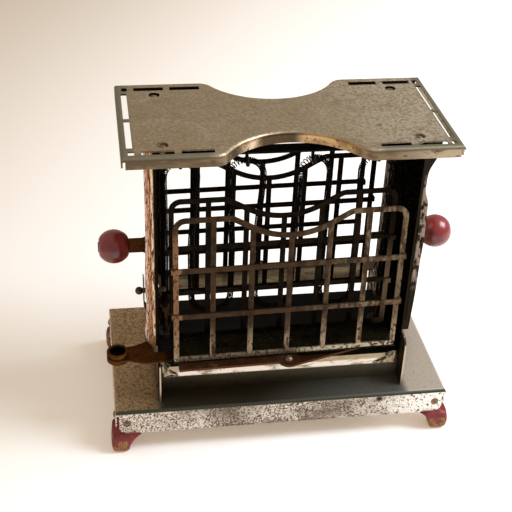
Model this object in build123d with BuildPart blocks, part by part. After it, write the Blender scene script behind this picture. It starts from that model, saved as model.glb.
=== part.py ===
from build123d import *
import os
from math import cos, radians, sin

# Swing-basket toaster, in millimetres. Origin: centre of the footprint, on the surface it stands on.
# X right, Y back, Z up. The rear basket and its swing arm are the front ones turned half round about Z,
# with the rear basket fastened a little further left on its pivot.

os.makedirs("parts", exist_ok=True)

# ---------------------------------------------------------------- driving dimensions
SHEET = 0.9                                  # pressed sheet steel
FIT = 0.05                                   # radial clearance of a pin in its hole
PLAY = 0.3                                   # gap beside loose or moving pieces

BASE_LENGTH, BASE_DEPTH, BASE_TOP = 200.0, 106.0, 29.0
FLANGE_DROP, BASE_BEND = 16.0, 2.5
FLANGE_NOTCH, FLANGE_END_ROUND = 2.2, 5.0    # open corner, and the rounded lower end of each flange
FOOT_BLOCK, FOOT_PROUD, FOOT_BULGE, FOOT_TUCK = 14.0, 2.0, 3.0, 0.4
FOOT_UNDER, FOOT_TIP, FOOT_BULGE_RISE, FOOT_COVE = 17.5, 9.6, 8.0, 22.0
FOOT_EDGE = 1.2
SCREW_INSET, SCREW_DROP, SCREW_BITE = 6.8, 8.3, 5.0
NEAR_SCREW_Y, FAR_SCREW_Y = 43.7, 47.5       # side screws of the front left and the rear left foot
COVER_LIFT, COVER_WALL, COVER_SCREW_Y = 1.6, 8.0, 33.0

PLINTH_LENGTH, PLINTH_DEPTH, PLINTH_RISE, LIP_RISE, LIP_INSET = 144.6, 70.0, 16.5, 10.3, 1.9

PANEL_INSIDE, WEB_HALF = 72.5, 33.9          # inner face of the web, and out to the front of its flange
REAR_FLANGE_X, REAR_FLANGE_FOOT = 75.0, 34.0
BEAD_RADIUS, BEAD_GROOVE, BEAD_X, BEAD_LOW = 1.7, 0.9, 75.2, 40.6
LEFT_BEAD_HIGH, RIGHT_BEAD_HIGH = 152.0, 118.0
LEFT_EDGE = ((76.4, 32.9), (79.0, 36.4), (79.5, 56.0), (79.9, 74.0), (79.6, 90.0), (79.1, 112.0),
             (79.1, 134.0), (79.4, 159.2))
RIGHT_EDGE = ((76.9, 33.6), (77.2, 40.3), (77.9, 54.9), (78.2, 72.7), (78.4, 85.9), (78.8, 96.7),
              (78.4, 108.7), (78.3, 116.5), (77.6, 123.0), (75.9, 128.2), (75.7, 132.6), (76.5, 141.9), (78.6, 146.7),
              (81.4, 159.2))
CHEEK_HALF, CHEEK_RISE, CHEEK_LOW, CHEEK_ROUND = 45.0, 33.2, 28.8, 6.0
HEAD_TAB_REACH, HEAD_TAB_FROM, HEAD_TAB_TO = 9.0, 21.0, 33.9
FOOT_TAB_REACH, FOOT_TAB_WIDTH, FOOT_TAB_Y = 8.0, 12.0, 20.0

TOP_LENGTH, TOP_DEPTH, TOP_Y, TOP_RISE, TOP_DROP, TOP_BEND = 182.0, 92.4, 1.2, 161.5, 6.5, 2.2
WAIST_RADIUS, WAIST_CENTRE, WAIST_BLEND, BLEND_SPAN = 41.0, 63.0, 9.0, 60.0
DIMPLE_X, DIMPLE_Y, DIMPLE_RADIUS, DIMPLE_DEPTH = 69.0, 31.2, 3.2, 1.4
END_SLOT_X, END_SLOT_Y, END_SLOT_LONG, END_SLOT_WIDE = 86.2, 17.4, 32.4, 3.2
SIDE_SLOT_Y, SIDE_SLOT_WIDE = 39.4, 4.2
SIDE_SLOTS = ((-85.6, 3.2), (-71.85, 16.9), (-51.15, 17.3), (54.0, 16.8), (74.3, 16.2), (85.8, 2.8))

RIVET_HOLE, RIVET_HEAD, RIVET_DOME, RIVET_TAIL, TAIL_THICK = 1.6, 2.5, 1.2, 2.2, 0.7

RUN_PITCH, RUNS, COIL_RADIUS = 19.0, 8, 2.0
RUN_LOW, RUN_HIGH, COIL_FOOT = 42.0, 125.0, 37.0
HOOK_WIRE, HOOK_TURN, HOOK_TIP, HOOK_COLLAR = 1.0, 3.1, 3.0, 2.0
HOOK_BEAD, HOOK_BEAD_GAP = 1.9, 3.6
HANGER_RISE, HANGER_DEPTH, HANGER_THICK, HANGER_TAB, HANGER_RIVET = 140.3, 9.0, 1.2, 9.0, 5.0
POST_RADIUS, POST_TAIL, NUT_RADIUS, NUT_THICK = 1.6, 4.2, 3.4, 2.8
BUSH_RADIUS, BUSH_COLLAR, BUSH_COLLAR_RISE = 3.6, 5.4, 2.0
BUS_WIDE, BUS_THICK, BUS_END = 6.0, 0.8, 38.8
INLET_WIDE, INLET_HIGH, INLET_DEEP, INLET_WALL, INLET_BACK, INLET_ROUND = 34.0, 11.4, 14.0, 1.4, 3.0, 4.0
INLET_PIN, INLET_PITCH, PIN_BACK, PIN_FRONT = 2.0, 14.0, 35.5, 51.0

KNOB_RADIUS, KNOB_FLAT, KNOB_SOCKET = 9.9, 8.6, 8.4
KNOB_X, KNOB_Y, KNOB_RISE = 95.8, -4.0, 83.8
TAB_THICK, TAB_NECK, TAB_FLARE, TAB_SHOULDER = 1.5, 9.0, 15.0, 6.0
HEEL_DEPTH, HEEL_HIGH, HEEL_ROUND, HEEL_RIVET_Y, HEEL_RIVET_Z = 14.0, 20.0, 3.0, 8.0, 6.3
TANG_RADIUS, TANG_HEAD, TANG_HEAD_THICK = 1.8, 3.0, 0.5

CATCH_Y, CATCH_RISE = 24.0, 65.7
LEAF_LOW, LEAF_HINGE, LEAF_BEND, LEAF_KNEE, LEAF_TOP = 38.5, 47.0, 49.0, 56.0, 75.0
LEAF_WIDE, LEAF_THICK, LEAF_STAND, LEAF_ROUND, LEAF_RIVET = 6.0, 0.6, 6.6, 4.0, 43.0
CATCH_PIN, CATCH_BALL, CATCH_HOLE, CATCH_TIP, CATCH_BALL_X = 1.5, 2.3, 2.9, 67.6, 82.85

GRID_LENGTH, GRID_HEIGHT, BAR, STRIP = 130.8, 93.6, 3.0, 1.0
BAY, UPRIGHTS = 21.6, 5
RAIL_HEIGHTS = (31.1, 61.2)
GRID_ROUND, GRID_FOOT_ROUND = 7.0, 2.0
DIP_SHOULDER, DIP_DEPTH, DIP_RADIUS, SHOULDER_ROUND = 33.0, 18.5, 41.0, 8.0
FLOOR_RISE, FLOOR_THICK, FLOOR_LENGTH, GRID_LIFT = 29.7, 0.8, 131.8, 0.05
BASKET_X, OUTER_Y, INNER_Y = 0.4, -45.0, -22.6
OUTER_LEAN, INNER_LEAN = 1.7, 0.5            # degrees, tops towards the heater
FLOOR_FRONT, FLOOR_BACK = -45.8, -21.9
BASKET_YAW = 1.6                             # degrees each basket stands open
REAR_SHIFT = -2.35                           # rear basket along X on its pivot
PIVOT_X, PIVOT_Y, BOSS_RADIUS = 1.4, -49.7, 6.2
BAND_THICK, BAND_FRONT, BAND_BACK, BAND_END = 1.5, -51.8, -41.5, -62.6
WASHER_RADIUS, WASHER_THICK, WASHER_GAP = 4.0, 0.4, 0.05
ARM_X, ARM_Y, ARM_THICK, ARM_WIDE, ARM_TRIM = 64.0, -31.0, 1.5, 7.6, 0.05
PIVOT_SHANK, PIVOT_HEAD, PIVOT_DOME = 1.5, 2.5, 1.8
HINGE_PIN, HINGE_HEAD, HINGE_DOME, HINGE_TAIL = 2.0, 3.4, 0.9, 2.8
BRACKET_WIDE, BRACKET_BACK, BRACKET_WALL, BRACKET_THICK, BRACKET_RIVET_Y = 10.0, -13.5, -24.5, 1.2, -19.0
HANDLE_X, HANDLE_Y, WING_ROOT = -96.4, -34.4, -64.5
WING_BACK = ((-95.4, -28.4), (-89.4, -27.5), (-84.9, -26.5), (-80.8, -24.4), (-76.4, -23.6))
WING_NOTCH = (-75.6, -34.5)                  # clears the end panel's web
WING_FRONT = ((-95.4, -40.4), (-90.4, -40.4), (-85.9, -42.1), (-82.4, -43.5), (-77.8, -43.9),
              (WING_ROOT, -44.2))
FERRULE_OUT, FERRULE_WAIST, FERRULE_IN, FERRULE_ROLL = 6.2, 5.6, 4.4, 0.8
FERRULE_DROP, FERRULE_NECK, FERRULE_RISE, FERRULE_FLOOR = 2.2, 1.4, 3.5, 1.0
BASKET_KNOB_RISE = 12.6

# ---------------------------------------------------------------- derived heights and faces
SHELF = BASE_TOP + PLINTH_RISE
FLANGE_LOW = BASE_TOP - FLANGE_DROP
TOP_FACE = BASE_TOP + TOP_RISE
PANEL_TOP = TOP_FACE - SHEET - DIMPLE_DEPTH
WEB_OUTSIDE = PANEL_INSIDE + SHEET
TERMINAL_X = (RUNS - 1) / 2 * RUN_PITCH
INLET_Z = FLANGE_LOW + COVER_LIFT + SHEET + FIT + INLET_HIGH / 2
BUS_LOW = INLET_Z + INLET_PIN
HANGER_LOW = BASE_TOP + HANGER_RISE
APEX = BASE_TOP + RUN_HIGH + RUN_PITCH / 2
HOOK_XS = [RUN_PITCH * (2 * pair - RUNS / 2 + 1) for pair in range(RUNS // 2)]
SCREW_Z = BASE_TOP - SCREW_DROP
FLOOR_LOW = BASE_TOP + FLOOR_RISE
FLOOR_TOP = FLOOR_LOW + FLOOR_THICK
BAND_LOW = FLOOR_LOW - BAND_THICK
FERRULE_LOW = FLOOR_LOW - FERRULE_DROP
FERRULE_HIGH = FLOOR_TOP + FERRULE_RISE
ARM_TOP = BAND_LOW - WASHER_THICK - WASHER_GAP
ARM_LOW = ARM_TOP - ARM_THICK
HINGE_SHELF = ARM_LOW - ARM_TRIM
HALF_TURN = Rotation(0, 0, 180)
PIVOT = Location((PIVOT_X, PIVOT_Y, 0))
OPENED = PIVOT * Rotation(0, 0, BASKET_YAW) * PIVOT.inverse()


def save(piece, name):
    """Label a finished piece and write its file."""
    piece.label = name
    export_step(piece, f"parts/{name}.step")


def save_group(name, *placings):
    """Write separate copies of small pieces, each with its own list of spots, as a single node."""
    with BuildPart() as group:
        for piece, spots in placings:
            with Locations(*spots):
                add(piece)
    save(group.part, name)


def both_ends(piece):
    """A right or front piece with the spots of itself and its half-turn twin."""
    return piece, [Location((0, 0, 0)), Location((0, 0, 0), (0, 0, 180))]


def save_basket_pair(piece, name):
    """Write a front basket piece, standing a little open, and its rear twin."""
    front = OPENED * piece
    rear = HALF_TURN * front
    save(front, f"front_{name}")
    save(Pos(X=REAR_SHIFT) * rear, f"rear_{name}")


def save_arm_pair(piece, name):
    """Write a front piece of the swing arm and its pivot, and its rear twin."""
    save(piece, f"front_{name}")
    save(HALF_TURN * piece, f"rear_{name}")


def rivet(grip, shank=RIVET_HOLE - FIT, head=RIVET_HEAD, dome=RIVET_DOME, tail=RIVET_TAIL):
    """Domed rivet standing on the XY plane, its shank and spread tail below."""
    with BuildPart() as piece:
        with BuildSketch(Plane.XZ):
            with BuildLine():
                SagittaArc((-head, 0), (head, 0), dome)
                Polyline((-head, 0), (-shank, 0), (-shank, -grip), (-tail, -grip), (-tail, -grip - TAIL_THICK),
                         (tail, -grip - TAIL_THICK), (tail, -grip), (shank, -grip), (shank, 0), (head, 0))
            make_face()
            split(bisect_by=Plane.YZ)
        revolve(axis=Axis.Z)
    return piece.part


def screw(grip):
    """Round-headed screw standing on the XY plane."""
    with BuildPart() as piece:
        with BuildSketch(Plane.XZ):
            with BuildLine():
                SagittaArc((-RIVET_HEAD, 0), (RIVET_HEAD, 0), RIVET_DOME)
                Line((-RIVET_HEAD, 0), (RIVET_HEAD, 0))
            make_face()
            split(bisect_by=Plane.YZ)
        revolve(axis=Axis.Z)
        Cylinder(RIVET_HOLE - FIT, grip, align=(Align.CENTER, Align.CENTER, Align.MAX))
    return piece.part


# ---------------------------------------------------------------- base plate
with BuildPart() as base_plate:
    with BuildSketch(Plane.XY.offset(FLANGE_LOW)):
        Rectangle(BASE_LENGTH, BASE_DEPTH)
    extrude(amount=FLANGE_DROP)
    fillet(base_plate.faces().sort_by(Axis.Z)[-1].edges(), BASE_BEND)
    with BuildSketch(Plane.XY.offset(FLANGE_LOW)):
        Rectangle(BASE_LENGTH - 2 * SHEET, BASE_DEPTH - 2 * SHEET)
    extrude(amount=FLANGE_DROP - SHEET, mode=Mode.SUBTRACT)
    with BuildSketch(Plane.XY.offset(FLANGE_LOW)):
        with GridLocations(BASE_LENGTH, BASE_DEPTH, 2, 2):
            Rectangle(2 * FLANGE_NOTCH, 2 * FLANGE_NOTCH)
    extrude(amount=FLANGE_DROP - BASE_BEND, mode=Mode.SUBTRACT)
    flange_ends = base_plate.edges().filter_by(lambda e: abs(e.length - SHEET) < FIT)
    fillet(flange_ends.group_by(Axis.Z)[0], FLANGE_END_ROUND)
    with BuildSketch(Plane.XY.offset(BASE_TOP)):
        with GridLocations(2 * TERMINAL_X, 0, 2, 1):
            Circle(BUSH_RADIUS + FIT)
        with GridLocations(2 * (PANEL_INSIDE - FOOT_TAB_REACH / 2), 2 * FOOT_TAB_Y, 2, 2):
            Circle(RIVET_HOLE)
    extrude(amount=-FLANGE_DROP / 2, mode=Mode.SUBTRACT)
    with BuildSketch(Plane.XZ.offset(-BASE_DEPTH / 2)):
        with Locations((0, INLET_Z)):
            Rectangle(INLET_WIDE + 2 * FIT, INLET_HIGH + 2 * FIT)
    extrude(amount=INLET_DEEP, mode=Mode.SUBTRACT)
    with BuildSketch(Plane.XZ.offset(-BASE_DEPTH / 2)):
        with Locations((0, SCREW_Z)):
            with GridLocations(BASE_LENGTH - 2 * SCREW_INSET, 0, 2, 1):
                Circle(RIVET_HOLE)
    extrude(amount=BASE_DEPTH, mode=Mode.SUBTRACT)
    for side in (-1, 1):
        with BuildSketch(Plane.YZ):
            with Locations(*[(-side * y, SCREW_Z) for y in (-NEAR_SCREW_Y, COVER_SCREW_Y, FAR_SCREW_Y)]):
                Circle(RIVET_HOLE)
        extrude(amount=side * BASE_LENGTH / 2, mode=Mode.SUBTRACT)
save(base_plate.part, "base_plate")


# ---------------------------------------------------------------- feet
def foot_section(block, plane, depth):
    """Foot profile seen square to one flange: block inside it, bulging skirt below, coved inner side."""
    skirt = FLANGE_LOW - FOOT_TUCK
    proud = block + SHEET + FOOT_PROUD
    bulge = block + SHEET + FOOT_BULGE
    with BuildPart() as slab:
        with BuildSketch(plane):
            with BuildLine():
                Polyline((proud, skirt), (block, skirt), (block, BASE_TOP - SHEET),
                         (block - FOOT_BLOCK, BASE_TOP - SHEET), (block - FOOT_BLOCK, skirt),
                         (proud - FOOT_UNDER, skirt))
                RadiusArc((proud - FOOT_UNDER, skirt), (proud - FOOT_TUCK - FOOT_TIP, 0), FOOT_COVE)
                Line((proud - FOOT_TUCK - FOOT_TIP, 0), (proud - FOOT_TUCK, 0))
                ThreePointArc((proud - FOOT_TUCK, 0), (bulge, FOOT_BULGE_RISE), (proud, skirt))
            make_face()
        extrude(amount=depth, both=True)
    return slab.part


def foot(side_screw_y):
    """Foot of the right rear corner."""
    block_x = BASE_LENGTH / 2 - SHEET
    block_y = BASE_DEPTH / 2 - SHEET
    with BuildPart() as piece:
        add(foot_section(block_x, Plane.XZ, BASE_DEPTH))
        add(foot_section(block_y, Plane.YZ, BASE_LENGTH), mode=Mode.INTERSECT)
        with BuildSketch(Plane.XY.offset(FLANGE_LOW - FOOT_TUCK)):
            with Locations((block_x + FIT, block_y + FIT)):
                Rectangle(FLANGE_NOTCH, FLANGE_NOTCH)
        extrude(amount=FLANGE_DROP - BASE_BEND - SHEET)
        fillet(piece.edges().group_by(Axis.Z)[0], FOOT_EDGE)
        with BuildSketch(Plane.XZ):
            with Locations((BASE_LENGTH / 2 - SCREW_INSET, SCREW_Z)):
                Circle(RIVET_HOLE)
        extrude(amount=-BASE_DEPTH, mode=Mode.SUBTRACT)
        with BuildSketch(Plane.YZ.offset(block_x)):
            with Locations((side_screw_y, SCREW_Z)):
                Circle(RIVET_HOLE)
        extrude(amount=-SCREW_BITE, mode=Mode.SUBTRACT)
    return piece.part


foot_right_rear = foot(NEAR_SCREW_Y)
foot_left_rear = foot(FAR_SCREW_Y).mirror(Plane.YZ)
save(foot_right_rear, "foot_rear_right")
save(foot_left_rear, "foot_rear_left")
save(HALF_TURN * foot_right_rear, "foot_front_left")
save(HALF_TURN * foot_left_rear, "foot_front_right")


# ---------------------------------------------------------------- screws, bottom cover
def side_spots(*heights):
    """Spots on the two end flanges, given by Y on the left one; the right one has them turned half round."""
    return [Location((side * BASE_LENGTH / 2, -side * y, SCREW_Z), (0, 90 * side, 0))
            for y in heights for side in (-1, 1)]


foot_screw_spots = [Location((x, side * BASE_DEPTH / 2, SCREW_Z), (-90 * side, 0, 0))
                    for x in (SCREW_INSET - BASE_LENGTH / 2, BASE_LENGTH / 2 - SCREW_INSET) for side in (-1, 1)]
foot_screw_spots += side_spots(-NEAR_SCREW_Y, FAR_SCREW_Y)
save_group("foot_screws", (screw(SCREW_BITE), foot_screw_spots))
save_group("cover_screws", (screw(SCREW_BITE / 2), side_spots(COVER_SCREW_Y)))

with BuildPart() as bottom_cover:
    cover_length = BASE_LENGTH - 2 * (SHEET + FIT)
    cover_depth = BASE_DEPTH - 2 * (SHEET + PLAY)
    with BuildSketch(Plane.XY.offset(FLANGE_LOW + COVER_LIFT)) as cover_outline:
        Rectangle(cover_length, cover_depth)
        with GridLocations(cover_length, cover_depth, 2, 2):
            Rectangle(2 * (FOOT_BLOCK + PLAY), 2 * (FOOT_BLOCK + PLAY), mode=Mode.SUBTRACT)
    extrude(amount=COVER_WALL)
    with BuildSketch(Plane.XY.offset(FLANGE_LOW + COVER_LIFT + SHEET)):
        Rectangle(cover_length - 2 * SHEET, BASE_DEPTH)
    extrude(amount=COVER_WALL, mode=Mode.SUBTRACT)
    for side in (-1, 1):
        with BuildSketch(Plane.YZ):
            with Locations((-side * COVER_SCREW_Y, SCREW_Z)):
                Circle(RIVET_HOLE)
        extrude(amount=side * BASE_LENGTH / 2, mode=Mode.SUBTRACT)
save(bottom_cover.part, "bottom_cover")

# ---------------------------------------------------------------- plinth
def plinth_block(depth, inset, rise):
    """Block with upright aprons that lean in by inset above the lip."""
    with BuildPart() as piece:
        with BuildSketch(Plane.YZ):
            with BuildLine():
                Polyline((-depth / 2, BASE_TOP), (depth / 2, BASE_TOP), (depth / 2, BASE_TOP + LIP_RISE),
                         (depth / 2 - inset, BASE_TOP + rise), (inset - depth / 2, BASE_TOP + rise),
                         (-depth / 2, BASE_TOP + LIP_RISE), close=True)
            make_face()
        extrude(amount=PLINTH_LENGTH / 2, both=True)
    return piece.part


with BuildPart() as plinth:
    add(plinth_block(PLINTH_DEPTH, LIP_INSET, PLINTH_RISE))
    add(plinth_block(PLINTH_DEPTH - 2 * SHEET, LIP_INSET, PLINTH_RISE - SHEET), mode=Mode.SUBTRACT)
    with BuildSketch(Plane.XY.offset(SHELF)):
        with GridLocations(2 * TERMINAL_X, 0, 2, 1):
            Circle(BUSH_RADIUS + FIT)
        with Locations((ARM_X, BRACKET_RIVET_Y), (-ARM_X, -BRACKET_RIVET_Y)):
            Circle(RIVET_HOLE)
    extrude(amount=-PLINTH_RISE, mode=Mode.SUBTRACT)
save(plinth.part, "plinth")


# ---------------------------------------------------------------- end panels
HEEL_Y = KNOB_Y + HEEL_RIVET_Y
HEEL_RISES = [BASE_TOP + KNOB_RISE - HEEL_RIVET_Z, BASE_TOP + KNOB_RISE + HEEL_RIVET_Z]


def end_panel(catch_side, front_edge, bead_high):
    """Right end panel.

    catch_side is -1 or 1 for a spring catch, and a cheek that is low under the basket's neck, towards the
    front or the rear. front_edge lists the free edge of the front flange as X and height above the base, and
    bead_high is the height where its bead ends.
    """
    front_cheek, rear_cheek = (BASE_TOP + rise for rise in (CHEEK_RISE, CHEEK_LOW)[::catch_side])
    with BuildPart() as piece:
        with BuildSketch(Plane.YZ.offset(PANEL_INSIDE)):
            with BuildLine():
                FilletPolyline((-CHEEK_HALF, BASE_TOP), (CHEEK_HALF, BASE_TOP),
                               (CHEEK_HALF, rear_cheek), (WEB_HALF, rear_cheek),
                               (WEB_HALF, PANEL_TOP), (-WEB_HALF, PANEL_TOP),
                               (-WEB_HALF, front_cheek), (-CHEEK_HALF, front_cheek),
                               radius=[0, 0, CHEEK_ROUND, 0, 0, 0, 0, CHEEK_ROUND], close=True)
            make_face()
        extrude(amount=SHEET)
        with BuildSketch(Plane.XZ.offset(-WEB_HALF)):
            with Locations((PANEL_INSIDE, BASE_TOP + REAR_FLANGE_FOOT)):
                Rectangle(REAR_FLANGE_X - PANEL_INSIDE, PANEL_TOP - BASE_TOP - REAR_FLANGE_FOOT,
                          align=(Align.MIN, Align.MIN))
        extrude(amount=SHEET)
        with BuildSketch(Plane.XZ.offset(WEB_HALF)):
            with BuildLine():
                edge = [(x, BASE_TOP + rise) for x, rise in front_edge[:-1]] + [(front_edge[-1][0], PANEL_TOP)]
                Polyline(edge[-1], (PANEL_INSIDE, PANEL_TOP), (PANEL_INSIDE, edge[0][1]), edge[0])
                Spline(*edge)
            make_face()
        extrude(amount=-SHEET)
        for radius, mode in ((BEAD_RADIUS, Mode.ADD), (BEAD_GROOVE, Mode.SUBTRACT)):
            with BuildSketch(Plane.XY.offset(BASE_TOP + BEAD_LOW)):
                with Locations((BEAD_X, SHEET - WEB_HALF)):
                    Circle(radius)
                    Rectangle(2 * radius, radius, mode=Mode.SUBTRACT, align=(Align.CENTER, Align.MIN))
            extrude(amount=bead_high - BEAD_LOW, mode=mode)
        for side in (-1, 1):
            with BuildSketch(Plane.XY.offset(PANEL_TOP)):
                with Locations((PANEL_INSIDE, side * (HEAD_TAB_FROM + HEAD_TAB_TO) / 2)):
                    Rectangle(HEAD_TAB_REACH, HEAD_TAB_TO - HEAD_TAB_FROM, align=(Align.MAX, Align.CENTER))
                with Locations((DIMPLE_X, side * DIMPLE_Y)):
                    Circle(RIVET_HOLE, mode=Mode.SUBTRACT)
            extrude(amount=-SHEET)
            with BuildSketch(Plane.XY.offset(BASE_TOP)):
                with Locations((PANEL_INSIDE, side * FOOT_TAB_Y)):
                    Rectangle(FOOT_TAB_REACH, FOOT_TAB_WIDTH, align=(Align.MAX, Align.CENTER))
                with Locations((PANEL_INSIDE - FOOT_TAB_REACH / 2, side * FOOT_TAB_Y)):
                    Circle(RIVET_HOLE, mode=Mode.SUBTRACT)
            extrude(amount=SHEET)
        with BuildSketch(Plane.YZ.offset(PANEL_INSIDE)):
            with Locations(*[(HEEL_Y, rise) for rise in HEEL_RISES]):
                Circle(RIVET_HOLE)
            with Locations((0, HANGER_LOW - HANGER_RIVET), (catch_side * CATCH_Y, BASE_TOP + LEAF_RIVET)):
                Circle(RIVET_HOLE)
            with Locations((catch_side * CATCH_Y, BASE_TOP + CATCH_RISE)):
                Circle(CATCH_HOLE)
        extrude(amount=SHEET, mode=Mode.SUBTRACT)
    return piece.part


save(end_panel(1, RIGHT_EDGE, RIGHT_BEAD_HIGH), "end_panel_right")
save(end_panel(-1, LEFT_EDGE, LEFT_BEAD_HIGH).mirror(Plane.YZ), "end_panel_left")

FOOT_TAB_X = PANEL_INSIDE - FOOT_TAB_REACH / 2
foot_tab_spots = [(x, y, BASE_TOP + SHEET)
                  for x in (-FOOT_TAB_X, FOOT_TAB_X) for y in (-FOOT_TAB_Y, FOOT_TAB_Y)]
save_group("panel_rivets", (rivet(2 * SHEET), foot_tab_spots))

# ---------------------------------------------------------------- top plate
with BuildPart() as top_plate:
    with BuildSketch(Plane.XY.offset(TOP_FACE)) as top_outline:
        with Locations((0, TOP_Y)):
            Rectangle(TOP_LENGTH, TOP_DEPTH)
            with GridLocations(0, 2 * WAIST_CENTRE, 1, 2):
                Circle(WAIST_RADIUS, mode=Mode.SUBTRACT)
        fillet(top_outline.vertices().filter_by(lambda v: abs(v.X) < BLEND_SPAN), WAIST_BLEND)
    extrude(amount=-TOP_DROP)
    fillet(top_plate.faces().sort_by(Axis.Z)[-1].edges(), TOP_BEND)
    with BuildSketch(Plane.XY.offset(TOP_FACE - SHEET)):
        offset(top_outline.sketch, amount=-SHEET, kind=Kind.INTERSECTION)
    extrude(amount=-TOP_DROP, mode=Mode.SUBTRACT)
    with BuildSketch(Plane.XY.offset(TOP_FACE - TOP_BEND)):
        with Locations((0, TOP_Y)):
            with GridLocations(TOP_LENGTH, TOP_DEPTH, 2, 2):
                Rectangle(2 * FLANGE_NOTCH, 2 * FLANGE_NOTCH)
    extrude(amount=-TOP_DROP, mode=Mode.SUBTRACT)
    with BuildSketch(Plane.XY.offset(TOP_FACE - SHEET)):
        with GridLocations(2 * DIMPLE_X, 2 * DIMPLE_Y, 2, 2):
            Circle(DIMPLE_RADIUS + SHEET)
    extrude(amount=-DIMPLE_DEPTH)
    with BuildSketch(Plane.XY.offset(TOP_FACE)):
        with GridLocations(2 * DIMPLE_X, 2 * DIMPLE_Y, 2, 2):
            Circle(DIMPLE_RADIUS)
    extrude(amount=-DIMPLE_DEPTH, mode=Mode.SUBTRACT)
    with BuildSketch(Plane.XY.offset(TOP_FACE)):
        with GridLocations(2 * DIMPLE_X, 2 * DIMPLE_Y, 2, 2):
            Circle(RIVET_HOLE)
        with GridLocations(2 * END_SLOT_X, 2 * END_SLOT_Y, 2, 2):
            Rectangle(END_SLOT_WIDE, END_SLOT_LONG)
        for slot_x, slot_long in SIDE_SLOTS:
            with Locations((slot_x, 0)):
                with GridLocations(0, 2 * SIDE_SLOT_Y, 1, 2):
                    Rectangle(slot_long, SIDE_SLOT_WIDE)
    extrude(amount=-SHEET - DIMPLE_DEPTH, mode=Mode.SUBTRACT)
save(top_plate.part, "top_plate")

top_rivet_spots = [(x, y, TOP_FACE - DIMPLE_DEPTH)
                   for x in (-DIMPLE_X, DIMPLE_X) for y in (-DIMPLE_Y, DIMPLE_Y)]
save_group("top_rivets", (rivet(2 * SHEET), top_rivet_spots))

# ---------------------------------------------------------------- hanger, hooks and heating coil
with BuildPart() as hanger_bar:
    with BuildSketch(Plane.XZ):
        with Locations((0, HANGER_LOW + HANGER_THICK)):
            Rectangle(2 * PANEL_INSIDE, HANGER_TAB, align=(Align.CENTER, Align.MAX))
        with Locations((0, HANGER_LOW)):
            Rectangle(2 * (PANEL_INSIDE - HANGER_THICK), HANGER_TAB, mode=Mode.SUBTRACT,
                      align=(Align.CENTER, Align.MAX))
    extrude(amount=HANGER_DEPTH / 2, both=True)
    with BuildSketch(Plane.XY.offset(HANGER_LOW)):
        with Locations(*[(x, HOOK_TURN) for x in HOOK_XS]):
            Circle(HOOK_WIRE + FIT)
    extrude(amount=HANGER_THICK, mode=Mode.SUBTRACT)
    with BuildSketch(Plane.YZ.offset(-PANEL_INSIDE)):
        with Locations((0, HANGER_LOW - HANGER_RIVET)):
            Circle(RIVET_HOLE)
    extrude(amount=2 * PANEL_INSIDE, mode=Mode.SUBTRACT)
save(hanger_bar.part, "hanger_bar")

hanger_rivet_spots = [Location((side * WEB_OUTSIDE, 0, HANGER_LOW - HANGER_RIVET), (0, 90 * side, 0))
                      for side in (-1, 1)]

with BuildPart() as coil_hook:
    with BuildLine(Plane.YZ) as hook_line:
        Line((HOOK_TURN, HANGER_LOW + HANGER_THICK), (HOOK_TURN, APEX))
        CenterArc((0, APEX), HOOK_TURN, 0, -180)
        Line((-HOOK_TURN, APEX), (-HOOK_TURN, APEX + HOOK_TIP))
    with BuildSketch(Plane(hook_line.line @ 0, z_dir=hook_line.line % 0)):
        Circle(HOOK_WIRE)
    sweep(path=hook_line.wires()[0])
    with BuildSketch(Plane.XY.offset(HANGER_LOW + HANGER_THICK)):
        with Locations((0, HOOK_TURN)):
            Circle(HOOK_COLLAR)
    extrude(amount=HOOK_WIRE)
save_group("coil_hooks", (coil_hook.part, [(x, 0, 0) for x in HOOK_XS]))

with BuildPart() as hook_bead:
    Sphere(HOOK_BEAD)
    Cylinder(HOOK_WIRE + FIT, 2 * HOOK_BEAD, mode=Mode.SUBTRACT)
save_group("hook_beads", (hook_bead.part, [(x, HOOK_TURN, APEX + HOOK_BEAD_GAP) for x in HOOK_XS]))

with BuildPart() as heating_coil:
    with BuildLine(Plane.XZ) as coil_line:
        Line((-TERMINAL_X, BASE_TOP + COIL_FOOT), (-TERMINAL_X, BASE_TOP + RUN_HIGH))
        for turn in range(RUNS - 1):
            middle = RUN_PITCH * (turn + 0.5) - TERMINAL_X
            high_end, low_end = BASE_TOP + RUN_HIGH, BASE_TOP + RUN_LOW
            if turn % 2 == 0:
                CenterArc((middle, high_end), RUN_PITCH / 2, 180, -180)
                last = turn == RUNS - 2
                Line((middle + RUN_PITCH / 2, high_end),
                     (middle + RUN_PITCH / 2, BASE_TOP + COIL_FOOT if last else low_end))
            else:
                CenterArc((middle, low_end), RUN_PITCH / 2, 180, 180)
                Line((middle + RUN_PITCH / 2, low_end), (middle + RUN_PITCH / 2, high_end))
    with BuildSketch(Plane.XY.offset(BASE_TOP + COIL_FOOT)):
        with Locations((-TERMINAL_X, 0)):
            Circle(COIL_RADIUS)
    sweep(path=coil_line.wires()[0])
save(heating_coil.part, "heating_coil")

# ---------------------------------------------------------------- terminals and inlet
with BuildPart() as terminal_post:
    with BuildSketch(Plane.XY.offset(BUS_LOW - POST_TAIL)):
        with Locations((TERMINAL_X, 0)):
            Circle(POST_RADIUS)
    extrude(amount=BASE_TOP + COIL_FOOT - BUS_LOW + POST_TAIL)
save_group("terminal_posts", both_ends(terminal_post.part))

with BuildPart() as terminal_nut:
    with BuildSketch():
        RegularPolygon(NUT_RADIUS, 6)
        Circle(POST_RADIUS + FIT, mode=Mode.SUBTRACT)
    extrude(amount=-NUT_THICK)
terminal_nut_spots = [(side * TERMINAL_X, 0, rise)
                      for rise in (BUS_LOW, BASE_TOP + COIL_FOOT) for side in (-1, 1)]
save_group("terminal_nuts", (terminal_nut.part, terminal_nut_spots))

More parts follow.
